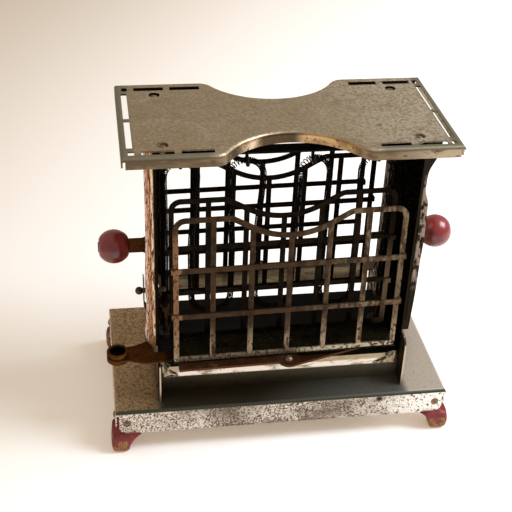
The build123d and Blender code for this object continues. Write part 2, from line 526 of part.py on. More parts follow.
with BuildPart() as terminal_bush:
    bush_low = BUS_LOW + BUS_THICK
    with BuildSketch(Plane.XY.offset(bush_low)):
        Circle(BUSH_RADIUS)
    extrude(amount=SHELF - bush_low)
    with BuildSketch(Plane.XY.offset(SHELF)):
        Circle(BUSH_COLLAR)
    extrude(amount=BUSH_COLLAR_RISE)
    with BuildSketch(Plane.XY.offset(bush_low)):
        Circle(POST_RADIUS + FIT)
    extrude(amount=SHELF + BUSH_COLLAR_RISE - bush_low, mode=Mode.SUBTRACT)
save_group("terminal_bushes", (terminal_bush.part, [(side * TERMINAL_X, 0, 0) for side in (-1, 1)]))

with BuildPart() as bus_strip:
    with BuildSketch(Plane.XY.offset(BUS_LOW)):
        with BuildLine():
            Polyline((TERMINAL_X + BUS_WIDE / 2, 0), (INLET_PITCH / 2, 0), (INLET_PITCH / 2, BUS_END))
        trace(line_width=BUS_WIDE)
        with Locations((TERMINAL_X, 0)):
            Circle(POST_RADIUS + FIT, mode=Mode.SUBTRACT)
    extrude(amount=BUS_THICK)
with BuildPart() as bus_strips:
    add(bus_strip.part)
    mirror(about=Plane.YZ)
save(bus_strips.part, "bus_strips")

with BuildPart() as inlet_block:
    with BuildSketch(Plane.XZ.offset(-BASE_DEPTH / 2)):
        with Locations((0, INLET_Z)):
            RectangleRounded(INLET_WIDE, INLET_HIGH, INLET_ROUND / 2)
    extrude(amount=INLET_DEEP)
    with BuildSketch(Plane.XZ.offset(-BASE_DEPTH / 2)):
        with Locations((0, INLET_Z)):
            RectangleRounded(INLET_WIDE - 2 * INLET_WALL, INLET_HIGH - 2 * INLET_WALL, INLET_ROUND)
    extrude(amount=INLET_DEEP - INLET_BACK, mode=Mode.SUBTRACT)
    with BuildSketch(Plane.XZ.offset(-BASE_DEPTH / 2)):
        with Locations((-INLET_PITCH / 2, INLET_Z), (INLET_PITCH / 2, INLET_Z)):
            Circle(INLET_PIN + FIT)
    extrude(amount=INLET_DEEP, mode=Mode.SUBTRACT)
save(inlet_block.part, "inlet_block")

with BuildPart() as inlet_pin:
    with BuildSketch(Plane.XZ.offset(-PIN_BACK)):
        Circle(INLET_PIN)
    extrude(amount=PIN_BACK - PIN_FRONT)
save_group("inlet_pins", (inlet_pin.part, [(side * INLET_PITCH / 2, 0, INLET_Z) for side in (-1, 1)]))

# ---------------------------------------------------------------- carry knobs
KNOB_Z = BASE_TOP + KNOB_RISE

with BuildPart() as knob_bracket:
    with BuildSketch(Plane.XZ.offset(-KNOB_Y)):
        with BuildLine():
            Polyline((WEB_OUTSIDE, KNOB_Z - TAB_FLARE / 2),
                     (WEB_OUTSIDE + TAB_SHOULDER, KNOB_Z - TAB_NECK / 2),
                     (KNOB_X - KNOB_SOCKET, KNOB_Z - TAB_NECK / 2),
                     (KNOB_X - KNOB_SOCKET, KNOB_Z + TAB_NECK / 2),
                     (WEB_OUTSIDE + TAB_SHOULDER, KNOB_Z + TAB_NECK / 2),
                     (WEB_OUTSIDE, KNOB_Z + TAB_FLARE / 2),
                     close=True)
        make_face()
    extrude(amount=TAB_THICK / 2, both=True)
    with BuildSketch(Plane.YZ.offset(WEB_OUTSIDE)):
        with Locations((KNOB_Y - TAB_THICK / 2, KNOB_Z)):
            Rectangle(HEEL_DEPTH, HEEL_HIGH, align=(Align.MIN, Align.CENTER))
        with Locations(*[(HEEL_Y, rise) for rise in HEEL_RISES]):
            Circle(RIVET_HOLE, mode=Mode.SUBTRACT)
    extrude(amount=TAB_THICK)
    fillet(knob_bracket.edges().filter_by(Axis.X).filter_by(lambda e: abs(e.length - TAB_THICK) < FIT),
           HEEL_ROUND)
    with BuildSketch(Plane.YZ.offset(KNOB_X - KNOB_SOCKET)):
        with Locations((KNOB_Y, KNOB_Z)):
            Circle(TANG_RADIUS)
    extrude(amount=KNOB_SOCKET + KNOB_FLAT)
    with BuildSketch(Plane.YZ.offset(KNOB_X + KNOB_FLAT)):
        with Locations((KNOB_Y, KNOB_Z)):
            Circle(TANG_HEAD)
    extrude(amount=TANG_HEAD_THICK)
save(knob_bracket.part, "knob_bracket_right")
save(knob_bracket.part.mirror(Plane.YZ), "knob_bracket_left")

with BuildPart() as carry_knob:
    with Locations((KNOB_X, KNOB_Y, KNOB_Z)):
        Sphere(KNOB_RADIUS)
    split(bisect_by=Plane.YZ.offset(KNOB_X + KNOB_FLAT), keep=Keep.BOTTOM)
    split(bisect_by=Plane.YZ.offset(KNOB_X - KNOB_SOCKET), keep=Keep.TOP)
    with BuildSketch(Plane.YZ.offset(KNOB_X - KNOB_SOCKET)):
        with Locations((KNOB_Y, KNOB_Z)):
            Circle(TANG_RADIUS + FIT)
    extrude(amount=KNOB_SOCKET + KNOB_FLAT, mode=Mode.SUBTRACT)
save(carry_knob.part, "carry_knob_right")
save(carry_knob.part.mirror(Plane.YZ), "carry_knob_left")

bracket_rivet_spots = [Location((side * PANEL_INSIDE, HEEL_Y, rise), (0, -90 * side, 0))
                       for side in (-1, 1) for rise in HEEL_RISES]

# ---------------------------------------------------------------- spring catches
LEAF_X = WEB_OUTSIDE + LEAF_THICK / 2


def catch_leaf(low, high):
    """Strip of the right, rear leaf spring between two heights above the base plate."""
    with BuildPart() as piece:
        with BuildSketch(Plane.XZ.offset(-CATCH_Y)):
            with BuildLine():
                FilletPolyline((LEAF_X, BASE_TOP + LEAF_LOW), (LEAF_X, BASE_TOP + LEAF_BEND),
                               (LEAF_X + LEAF_STAND, BASE_TOP + LEAF_KNEE),
                               (LEAF_X + LEAF_STAND, BASE_TOP + LEAF_TOP), radius=LEAF_ROUND)
            trace(line_width=LEAF_THICK)
        extrude(amount=LEAF_WIDE / 2, both=True)
        with BuildSketch(Plane.YZ):
            with Locations((CATCH_Y, BASE_TOP + LEAF_RIVET)):
                Circle(RIVET_HOLE)
            with Locations((CATCH_Y, BASE_TOP + CATCH_RISE)):
                Circle(CATCH_PIN + FIT)
        extrude(amount=KNOB_X, mode=Mode.SUBTRACT)
        split(bisect_by=Plane.XY.offset(BASE_TOP + low), keep=Keep.TOP)
        split(bisect_by=Plane.XY.offset(BASE_TOP + high), keep=Keep.BOTTOM)
    return piece.part


def catch_pin(tip):
    """Ball-headed pin of the right, rear catch, reaching in to tip."""
    with BuildPart() as piece:
        with BuildSketch(Plane.YZ.offset(tip)):
            with Locations((CATCH_Y, BASE_TOP + CATCH_RISE)):
                Circle(CATCH_PIN)
        extrude(amount=CATCH_BALL_X - tip)
        fillet(piece.edges().group_by(Axis.X)[0], CATCH_PIN / 2)
        with Locations((CATCH_BALL_X, CATCH_Y, BASE_TOP + CATCH_RISE)):
            Sphere(CATCH_BALL)
    return piece.part


save_group("catch_feet", both_ends(catch_leaf(LEAF_LOW, LEAF_HINGE - FIT)))
catch_spring = catch_leaf(LEAF_HINGE + FIT, LEAF_TOP)
save(HALF_TURN * catch_spring, "front_catch_spring")
save(catch_spring, "rear_catch_spring")
save(HALF_TURN * catch_pin(CATCH_TIP), "front_catch_pin")
save(catch_pin(CATCH_TIP + REAR_SHIFT), "rear_catch_pin")

catch_rivet_spots = [Location((side * (WEB_OUTSIDE + LEAF_THICK), side * CATCH_Y, BASE_TOP + LEAF_RIVET),
                              (0, 90 * side, 0)) for side in (-1, 1)]
save_group("web_rivets", (rivet(SHEET + HANGER_THICK), hanger_rivet_spots),
           (rivet(SHEET + TAB_THICK), bracket_rivet_spots), (rivet(SHEET + LEAF_THICK), catch_rivet_spots))


# ---------------------------------------------------------------- swing arms and their brackets
def arm_bracket():
    """Bracket on the plinth's front right corner: foot, upright, and shelf reaching forward to the hinge."""
    with BuildPart() as piece:
        with BuildSketch(Plane.YZ.offset(ARM_X)):
            with BuildLine():
                Polyline((BRACKET_BACK, SHELF + BRACKET_THICK / 2), (BRACKET_WALL, SHELF + BRACKET_THICK / 2),
                         (BRACKET_WALL, HINGE_SHELF - BRACKET_THICK / 2),
                         (ARM_Y, HINGE_SHELF - BRACKET_THICK / 2))
            trace(line_width=BRACKET_THICK)
        extrude(amount=BRACKET_WIDE / 2, both=True)
        with BuildSketch(Plane.XY.offset(HINGE_SHELF)):
            with Locations((ARM_X, ARM_Y)):
                Circle(BRACKET_WIDE / 2)
        extrude(amount=-BRACKET_THICK)
        with BuildSketch(Plane.XY.offset(HINGE_SHELF)):
            with Locations((ARM_X, ARM_Y)):
                Circle(HINGE_PIN + FIT)
            with Locations((ARM_X, BRACKET_RIVET_Y)):
                Circle(RIVET_HOLE)
        extrude(amount=SHELF - HINGE_SHELF, mode=Mode.SUBTRACT)
    return piece.part


def swing_arm():
    """Flat arm from the hinge on the bracket to the pivot under the front basket."""
    with BuildPart() as piece:
        with BuildSketch(Plane.XY.offset(ARM_LOW)):
            with BuildLine():
                Line((PIVOT_X, PIVOT_Y), (ARM_X, ARM_Y))
            trace(line_width=ARM_WIDE)
            with Locations((PIVOT_X, PIVOT_Y), (ARM_X, ARM_Y)):
                Circle(ARM_WIDE / 2)
            with Locations((PIVOT_X, PIVOT_Y)):
                Circle(PIVOT_SHANK + FIT, mode=Mode.SUBTRACT)
            with Locations((ARM_X, ARM_Y)):
                Circle(HINGE_PIN + FIT, mode=Mode.SUBTRACT)
        extrude(amount=ARM_THICK)
    return piece.part


hinge_pin = rivet(ARM_THICK + 2 * ARM_TRIM + BRACKET_THICK, HINGE_PIN, HINGE_HEAD, HINGE_DOME, HINGE_TAIL)
save_group("arm_brackets", both_ends(arm_bracket()))
save_group("arm_pins", both_ends(Pos(ARM_X, ARM_Y, ARM_TOP + ARM_TRIM) * hinge_pin))
save_arm_pair(swing_arm(), "swing_arm")

bracket_foot_spots = [(side * ARM_X, side * BRACKET_RIVET_Y, SHELF + BRACKET_THICK) for side in (-1, 1)]
save_group("bracket_foot_rivets", (rivet(BRACKET_THICK + SHEET), bracket_foot_spots))

# ---------------------------------------------------------------- baskets
GRID_OUTLINE = [(-GRID_LENGTH / 2, 0), (GRID_LENGTH / 2, 0), (GRID_LENGTH / 2, GRID_HEIGHT),
                (DIP_SHOULDER, GRID_HEIGHT), (0, GRID_HEIGHT - DIP_DEPTH), (-DIP_SHOULDER, GRID_HEIGHT),
                (-GRID_LENGTH / 2, GRID_HEIGHT)]
GRID_RADII = [GRID_FOOT_ROUND, GRID_FOOT_ROUND, GRID_ROUND, SHOULDER_ROUND, DIP_RADIUS, SHOULDER_ROUND,
              GRID_ROUND]


def grid_plane(foot_y, lean):
    """Plane of a leaning grid, facing the front, its origin in the middle of the grid's lower edge."""
    return Plane(origin=(BASKET_X, foot_y, FLOOR_TOP + GRID_LIFT), x_dir=(1, 0, 0),
                 z_dir=(0, -cos(radians(lean)), sin(radians(lean))))


def grid_frame(plane):
    """Flat strip bent round the grid's outline, dipped in the middle of its top edge."""
    with BuildPart() as piece:
        with BuildSketch(plane):
            with BuildLine():
                FilletPolyline(*GRID_OUTLINE, radius=GRID_RADII, close=True)
            make_face()
            offset(amount=-BAR, mode=Mode.SUBTRACT)
        extrude(amount=STRIP / 2, both=True)
    return piece.part


def grid_uprights(*planes):
    """Upright strips of the grids, cut to the inside of their frames."""
    with BuildPart() as group:
        for plane in planes:
            add(upright_row(plane))
    return group.part


def upright_row(plane):
    """Upright strips of one grid."""
    with BuildPart() as piece:
        with BuildSketch(plane):
            with Locations((0, GRID_HEIGHT / 2)):
                with GridLocations(BAY, 0, UPRIGHTS, 1):
                    Rectangle(BAR, GRID_HEIGHT)
        extrude(amount=STRIP / 2, both=True)
        with BuildSketch(plane):
            with BuildLine():
                FilletPolyline(*GRID_OUTLINE, radius=GRID_RADII, close=True)
            make_face()
            offset(amount=-BAR, mode=Mode.REPLACE)
        extrude(amount=STRIP / 2, both=True, mode=Mode.INTERSECT)
    return piece.part


def grid_rails(plane, side):
    """Cross rails on the grid's outer face (side 1 faces the front), folded round the side bars."""
    end_x = (GRID_LENGTH + STRIP) / 2
    hem_back = STRIP + STRIP / 2
    with BuildPart() as piece:
        for height in RAIL_HEIGHTS:
            with BuildSketch(plane.offset(side * STRIP / 2)):
                with Locations((0, height)):
                    Rectangle(GRID_LENGTH + 2 * STRIP, BAR)
            extrude(amount=side * STRIP)
            with BuildSketch(plane.offset(-side * hem_back)):
                with Locations((-end_x, height), (end_x, height)):
                    Rectangle(STRIP, BAR)
            extrude(amount=side * 2 * hem_back)
            with BuildSketch(plane.offset(-side * hem_back)):
                with Locations((-end_x + BAR / 2, height), (end_x - BAR / 2, height)):
                    Rectangle(BAR, BAR)
            extrude(amount=side * STRIP)
    return piece.part


def basket_floor():
    """Floor plate with a wing and neck reaching left to the handle."""
    with BuildPart() as piece:
        with BuildSketch(Plane.XY.offset(FLOOR_LOW)) as outline:
            with Locations((BASKET_X, (FLOOR_FRONT + FLOOR_BACK) / 2)):
                Rectangle(FLOOR_LENGTH, FLOOR_BACK - FLOOR_FRONT)
            with BuildLine():
                Spline(*WING_BACK)
                Polyline(WING_BACK[-1], WING_NOTCH, (WING_ROOT, WING_NOTCH[1]), WING_FRONT[-1])
                Spline(*WING_FRONT)
                Line(WING_FRONT[0], WING_BACK[0])
            make_face()
            with Locations((HANDLE_X, HANDLE_Y)):
                Circle(FERRULE_OUT)
                Circle(FERRULE_WAIST + FIT, mode=Mode.SUBTRACT)
        extrude(amount=FLOOR_THICK)
    return piece.part


def pivot_band():
    """Strip under the floor's front edge, ending in the round boss of the pivot."""
    with BuildPart() as piece:
        with BuildSketch(Plane.XY.offset(BAND_LOW)):
            with Locations((BAND_END, (BAND_FRONT + BAND_BACK) / 2)):
                Rectangle(PIVOT_X - BAND_END, BAND_BACK - BAND_FRONT, align=(Align.MIN, Align.CENTER))
            with Locations((PIVOT_X, PIVOT_Y)):
                Circle(BOSS_RADIUS)
                Circle(PIVOT_SHANK + FIT, mode=Mode.SUBTRACT)
        extrude(amount=BAND_THICK)
    return piece.part


def pivot_washer():
    """Washer between the band and the swing arm."""
    with BuildPart() as piece:
        with BuildSketch(Plane.XY.offset(BAND_LOW)):
            with Locations((PIVOT_X, PIVOT_Y)):
                Circle(WASHER_RADIUS)
                Circle(PIVOT_SHANK + FIT, mode=Mode.SUBTRACT)
        extrude(amount=-WASHER_THICK)
    return piece.part


def ferrule():
    """Pressed cup clinched in the round end of the neck, which grips the handle knob's stem."""
    with BuildPart() as piece:
        with BuildSketch(Plane.XZ):
            with BuildLine():
                Polyline((0, FERRULE_LOW), (FERRULE_OUT, FERRULE_LOW), (FERRULE_OUT, FLOOR_LOW - FIT),
                         (FERRULE_WAIST, FLOOR_LOW - FIT),
                         (FERRULE_WAIST, FLOOR_TOP + FERRULE_NECK - FERRULE_ROLL),
                         (FERRULE_OUT, FLOOR_TOP + FERRULE_NECK), (FERRULE_OUT, FERRULE_HIGH),
                         (FERRULE_IN, FERRULE_HIGH), (FERRULE_IN, FERRULE_LOW + FERRULE_FLOOR),
                         (0, FERRULE_LOW + FERRULE_FLOOR), close=True)
            make_face()
        revolve(axis=Axis.Z)
        fillet(piece.edges().group_by(Axis.Z)[-1], FERRULE_ROLL)
    return Pos(HANDLE_X, HANDLE_Y) * piece.part


def basket_knob():
    """Ball knob with a short stem that fills the ferrule."""
    with BuildPart() as piece:
        with Locations((HANDLE_X, HANDLE_Y, FLOOR_TOP + BASKET_KNOB_RISE)):
            Sphere(KNOB_RADIUS)
        split(bisect_by=Plane.XY.offset(FERRULE_HIGH + FIT), keep=Keep.TOP)
        with BuildSketch(Plane.XY.offset(FERRULE_LOW + FERRULE_FLOOR + FIT)):
            with Locations((HANDLE_X, HANDLE_Y)):
                Circle(FERRULE_IN - FIT)
        extrude(amount=FERRULE_HIGH - FERRULE_LOW)
    return piece.part


outer_plane = grid_plane(OUTER_Y, OUTER_LEAN)
inner_plane = grid_plane(INNER_Y, INNER_LEAN)
pivot_rivet = rivet(FLOOR_LOW - ARM_LOW + ARM_TRIM, PIVOT_SHANK, PIVOT_HEAD, PIVOT_DOME)
for pivot_name, pivot_piece in (("pivot_band", pivot_band()),
                                ("pivot_washer", pivot_washer()),
                                ("pivot_rivet", Pos(PIVOT_X, PIVOT_Y, FLOOR_LOW) * pivot_rivet)):
    save_arm_pair(OPENED * pivot_piece, pivot_name)
for basket_name, basket_piece in (("floor", basket_floor()),
                                  ("ferrule", ferrule()),
                                  ("outer_frame", grid_frame(outer_plane)),
                                  ("uprights", grid_uprights(outer_plane, inner_plane)),
                                  ("outer_rails", grid_rails(outer_plane, 1)),
                                  ("inner_frame", grid_frame(inner_plane)),
                                  ("inner_rails", grid_rails(inner_plane, -1))):
    save_basket_pair(basket_piece, basket_name)
save(Pos(X=REAR_SHIFT) * (HALF_TURN * (OPENED * basket_knob())), "rear_handle_knob")
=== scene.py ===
import math

import bmesh
import bpy
import numpy as np
from mathutils import Matrix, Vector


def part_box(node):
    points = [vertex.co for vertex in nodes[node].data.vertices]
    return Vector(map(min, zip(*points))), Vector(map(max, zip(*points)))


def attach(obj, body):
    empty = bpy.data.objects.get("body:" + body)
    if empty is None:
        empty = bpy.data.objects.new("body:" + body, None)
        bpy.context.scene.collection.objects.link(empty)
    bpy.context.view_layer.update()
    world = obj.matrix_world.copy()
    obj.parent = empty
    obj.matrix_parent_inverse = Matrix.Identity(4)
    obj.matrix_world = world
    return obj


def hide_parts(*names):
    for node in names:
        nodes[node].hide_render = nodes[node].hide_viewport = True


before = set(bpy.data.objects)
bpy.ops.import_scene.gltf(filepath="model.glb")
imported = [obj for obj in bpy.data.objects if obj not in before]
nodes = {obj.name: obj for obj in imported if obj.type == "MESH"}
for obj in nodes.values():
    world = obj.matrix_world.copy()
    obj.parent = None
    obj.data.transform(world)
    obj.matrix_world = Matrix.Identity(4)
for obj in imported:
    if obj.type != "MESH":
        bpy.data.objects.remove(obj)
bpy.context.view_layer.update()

MM = 0.001
COIL_LOW, COIL_HIGH = 71.0, 154.0    # centres of the coil's lower and upper half circles, mm
COIL_END = 66.0    # where the first and the last upright run stop, mm
COIL_STEP = 0.25    # between the points of the coil's path, mm
RUN_GAP = 19    # between the coil's upright runs, mm
RUN_EASE = 50    # height over which a run goes from its head shift to its foot shift, mm
# Sideways shift of each of the eight runs at its head and at its foot, mm
RUN_SHIFTS = ((0, 0), (0, -3.0), (-1.0, 1.5), (0, -2.3), (2.3, 0.6), (0.5, 0), (0, 0.8), (0, 0))
COIL_PITCH, COIL_STRETCH = 0.95, 1.1    # mm per turn, and what a hook's pull adds to it
HELIX_RADIUS, WIRE_RADIUS = 1.70, 0.29    # of the wound coil, mm
KNOB_RADIUS, STEM_RADIUS = 9.9, 4.35    # of the three ball knobs and the rear knob's stem, mm
CARRY_KNOB = (95.8, -4, 112.8)    # middle of the right carry knob, mm
SPOT_EDGE, SPOT_RAGGED = 0.12, 0.35    # softness and raggedness of a pit's rim, as shares of its cell
CUP = (-96.8, -37.1, 60.5)    # middle of the front handle cup, mm
GLOW = 0.25    # light added to the paper as the camera sees it
SHADE_TURN = 0.44    # turn of the coordinates whose X the paper darkens along, radians
SHADE_START, SHADE_END = 41, -579    # X in them where the paper starts to darken and is darkest, mm
PAPER_HALF = 4    # half the side of the paper floor, m
EYE = (-103.00, -523.22, 441.67)    # the camera's place, mm
YAW, PITCH, ROLL = 0.1724, 0.5737, 0.0427    # the camera's turn, radians


# ---------------------------------------------------------------- colour and node helpers
def linear(code):
    """sRGB hex code to linear RGBA: each channel to the power 2.4 after the offset, or divided by 12.92 when
    dark."""
    channels = [int(code[i:i + 2], 16) / 255 for i in (1, 3, 5)]
    return [c / 12.92 if c <= 0.04045 else ((c + 0.055) / 1.055) ** 2.4 for c in channels] + [1.0]


def add(tree, kind, inputs=None, **settings):
    """Adds one node with its settings; each input is fed by a socket or set to a value."""
    node = tree.nodes.new(kind)
    for key, value in settings.items():
        setattr(node, key, value)
    for key, value in (inputs or {}).items():
        if isinstance(value, bpy.types.NodeSocket):
            tree.links.new(value, node.inputs[key])
        else:
            node.inputs[key].default_value = value
    return node


def smooth_step(tree, value, start, end, within=None):
    """Mask that rises smoothly from 0 where the value is start to 1 where it is end, kept within another
    mask."""
    risen = add(tree, "ShaderNodeMapRange", {"Value": value, "From Min": start, "From Max": end},
                interpolation_type="SMOOTHSTEP").outputs["Result"]
    return risen if within is None else overlap(tree, within, risen)


def overlap(tree, first, *others, how="MULTIPLY"):
    """Masks laid over one another in turn: multiplied together, or as how says."""
    for other in others:
        first = add(tree, "ShaderNodeMath", {0: first, 1: other}, operation=how, use_clamp=True).outputs[0]
    return first


def patches(tree, place, size, start, end, stretch=(1, 1, 1), detail=4.0, shift=0.0, within=None):
    """Blotches size mm across: layered noise, cut by a smooth step from start to end, and kept within another
    mask where one is given."""
    scale = tuple(1 / (size * MM * s) for s in stretch)
    moved = add(tree, "ShaderNodeMapping",
                {"Vector": place, "Location": (shift, shift, shift), "Scale": scale})
    noise = add(tree, "ShaderNodeTexNoise", {"Vector": moved.outputs[0], "Scale": 1.0, "Detail": detail,
                                             "Roughness": 0.6})
    return smooth_step(tree, noise.outputs["Fac"], start, end, within)


def pits(tree, place, spacing, reach, within=None):
    """Ragged round spots, one in each cell spacing mm wide: distance to the cell's point plus noise, below
    reach, and kept within another mask where one is given."""
    scale = 1 / (spacing * MM)
    cells = add(tree, "ShaderNodeTexVoronoi", {"Vector": place, "Scale": scale})
    noise = add(tree, "ShaderNodeTexNoise", {"Vector": place, "Scale": 0.8 * scale, "Detail": 2.0})
    total = add(tree, "ShaderNodeMath",
                {0: noise.outputs["Fac"], 1: SPOT_RAGGED * 2, 2: cells.outputs["Distance"]},
                operation="MULTIPLY_ADD")
    rim = reach + SPOT_RAGGED
    return smooth_step(tree, total.outputs[0], rim, rim - SPOT_EDGE, within)


def axis_mask(tree, place, axis, start, end, both_sides=False, within=None):
    """Mask that rises from start to end along X, Y or Z of the object, in mm, and is kept within another mask
    where one is given; both_sides measures away from the middle."""
    along = add(tree, "ShaderNodeSeparateXYZ", {0: place}).outputs[axis]
    if both_sides:
        along = add(tree, "ShaderNodeMath", {0: along}, operation="ABSOLUTE").outputs[0]
    return smooth_step(tree, along, start * MM, end * MM, within)


def coat(tree, under, mask, colour, roughness, metallic, height=0.0):
    """Lays a finish over another where the mask is 1; height is in mm."""
    blend = {"colour": add(tree, "ShaderNodeMix", {0: mask, 6: under["colour"], 7: linear(colour)},
                           data_type="RGBA").outputs[2]}
    for key, value in (("roughness", roughness), ("metallic", metallic), ("height", height)):
        if value is None or value == under[key]:
            blend[key] = under[key]
        else:
            blend[key] = add(tree, "ShaderNodeMix", {0: mask, 2: under[key], 3: value}).outputs[0]
    return blend


def finish(name, base, layers, grain=(0.6, 0.02), varnish=None, glance=1.0):
    """Material from a base finish and the layers over it.

    base is colour, roughness, metallic. layers is a function of the node tree and the Object coordinates
    giving (mask, colour, roughness, metallic, height) for each layer. grain is the size and depth of the fine
    bump in mm, and glance is how much of the light a metal sends back at a low angle.
    """
    made = bpy.data.materials.new(name)
    made.use_nodes = True
    tree = made.node_tree
    shader = tree.nodes["Principled BSDF"]
    place = add(tree, "ShaderNodeTexCoord").outputs["Object"]
    state = {"colour": linear(base[0]), "roughness": base[1], "metallic": base[2], "height": 0.0}
    for layer in layers(tree, place):
        state = coat(tree, state, *layer)
    for key, value in (("Base Color", state["colour"]), ("Roughness", state["roughness"]),
                       ("Metallic", state["metallic"])):
        if isinstance(value, bpy.types.NodeSocket):
            tree.links.new(value, shader.inputs[key])
        else:
            shader.inputs[key].default_value = value
    noise = add(tree, "ShaderNodeTexNoise", {"Vector": place, "Scale": 1 / (grain[0] * MM), "Detail": 3.0})
    total = add(tree, "ShaderNodeMath", {0: noise.outputs["Fac"], 1: grain[1], 2: state["height"]},
                operation="MULTIPLY_ADD")
    bump = add(tree, "ShaderNodeBump", {"Height": total.outputs[0], "Distance": MM, "Strength": 1.0})
    tree.links.new(bump.outputs[0], shader.inputs["Normal"])
    shader.inputs["Specular Tint"].default_value = (glance, glance, glance, 1.0)
    if varnish:
        shader.inputs["Coat Weight"].default_value = varnish[0]
        shader.inputs["Coat Roughness"].default_value = varnish[1]
    return made


# ---------------------------------------------------------------- mesh helpers
def skin(name, points, body, stands_for, material, closed=(False, False), sheet=None):
    """Surface through a grid of points in mm, rows by columns; closed joins the last row or column to the
    first."""
    rows, columns = points.shape[:2]
    i, j = np.meshgrid(np.arange(rows if closed[0] else rows - 1),
                       np.arange(columns if closed[1] else columns - 1), indexing="ij")
    down, across = (i + 1) % rows, (j + 1) % columns
    faces = np.stack([i * columns + j, down * columns + j, down * columns + across, i * columns + across],
                     axis=-1)
    mesh = bpy.data.meshes.new(name)
    mesh.from_pydata((points.reshape(-1, 3) * MM).tolist(), [], faces.reshape(-1, 4).tolist())
    return settle(name, mesh, body, stands_for, material, sheet)


def settle(name, mesh, body, stands_for, material, sheet=None):
    """Closes a mesh's seams and poles, turns its faces outward, and hangs it on its body in the CAD node's
    place."""
    shape = bmesh.new()
    shape.from_mesh(mesh)
    bmesh.ops.remove_doubles(shape, verts=shape.verts, dist=1e-6)
    bmesh.ops.recalc_face_normals(shape, faces=shape.faces)
    shape.to_mesh(mesh)
    shape.free()
    mesh.polygons.foreach_set("use_smooth", np.full(len(mesh.polygons), True))
    mesh.materials.append(material)
    piece = bpy.data.objects.new(name, mesh)
    bpy.context.scene.collection.objects.link(piece)
    if sheet:
        wall = piece.modifiers.new("wall", "SOLIDIFY")
        wall.thickness, wall.offset = sheet * MM, -1.0
    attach(piece, body)
    if stands_for:
        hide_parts(*stands_for)
    return piece


def superellipse(count, power):
    """Closed outline: cosine and sine of the turn, each to 2/power with its sign kept."""
    turn = np.linspace(0, 2 * np.pi, count, endpoint=False)
    c, s = np.cos(turn), np.sin(turn)
    return np.sign(c) * np.abs(c) ** (2 / power), np.sign(s) * np.abs(s) ** (2 / power)


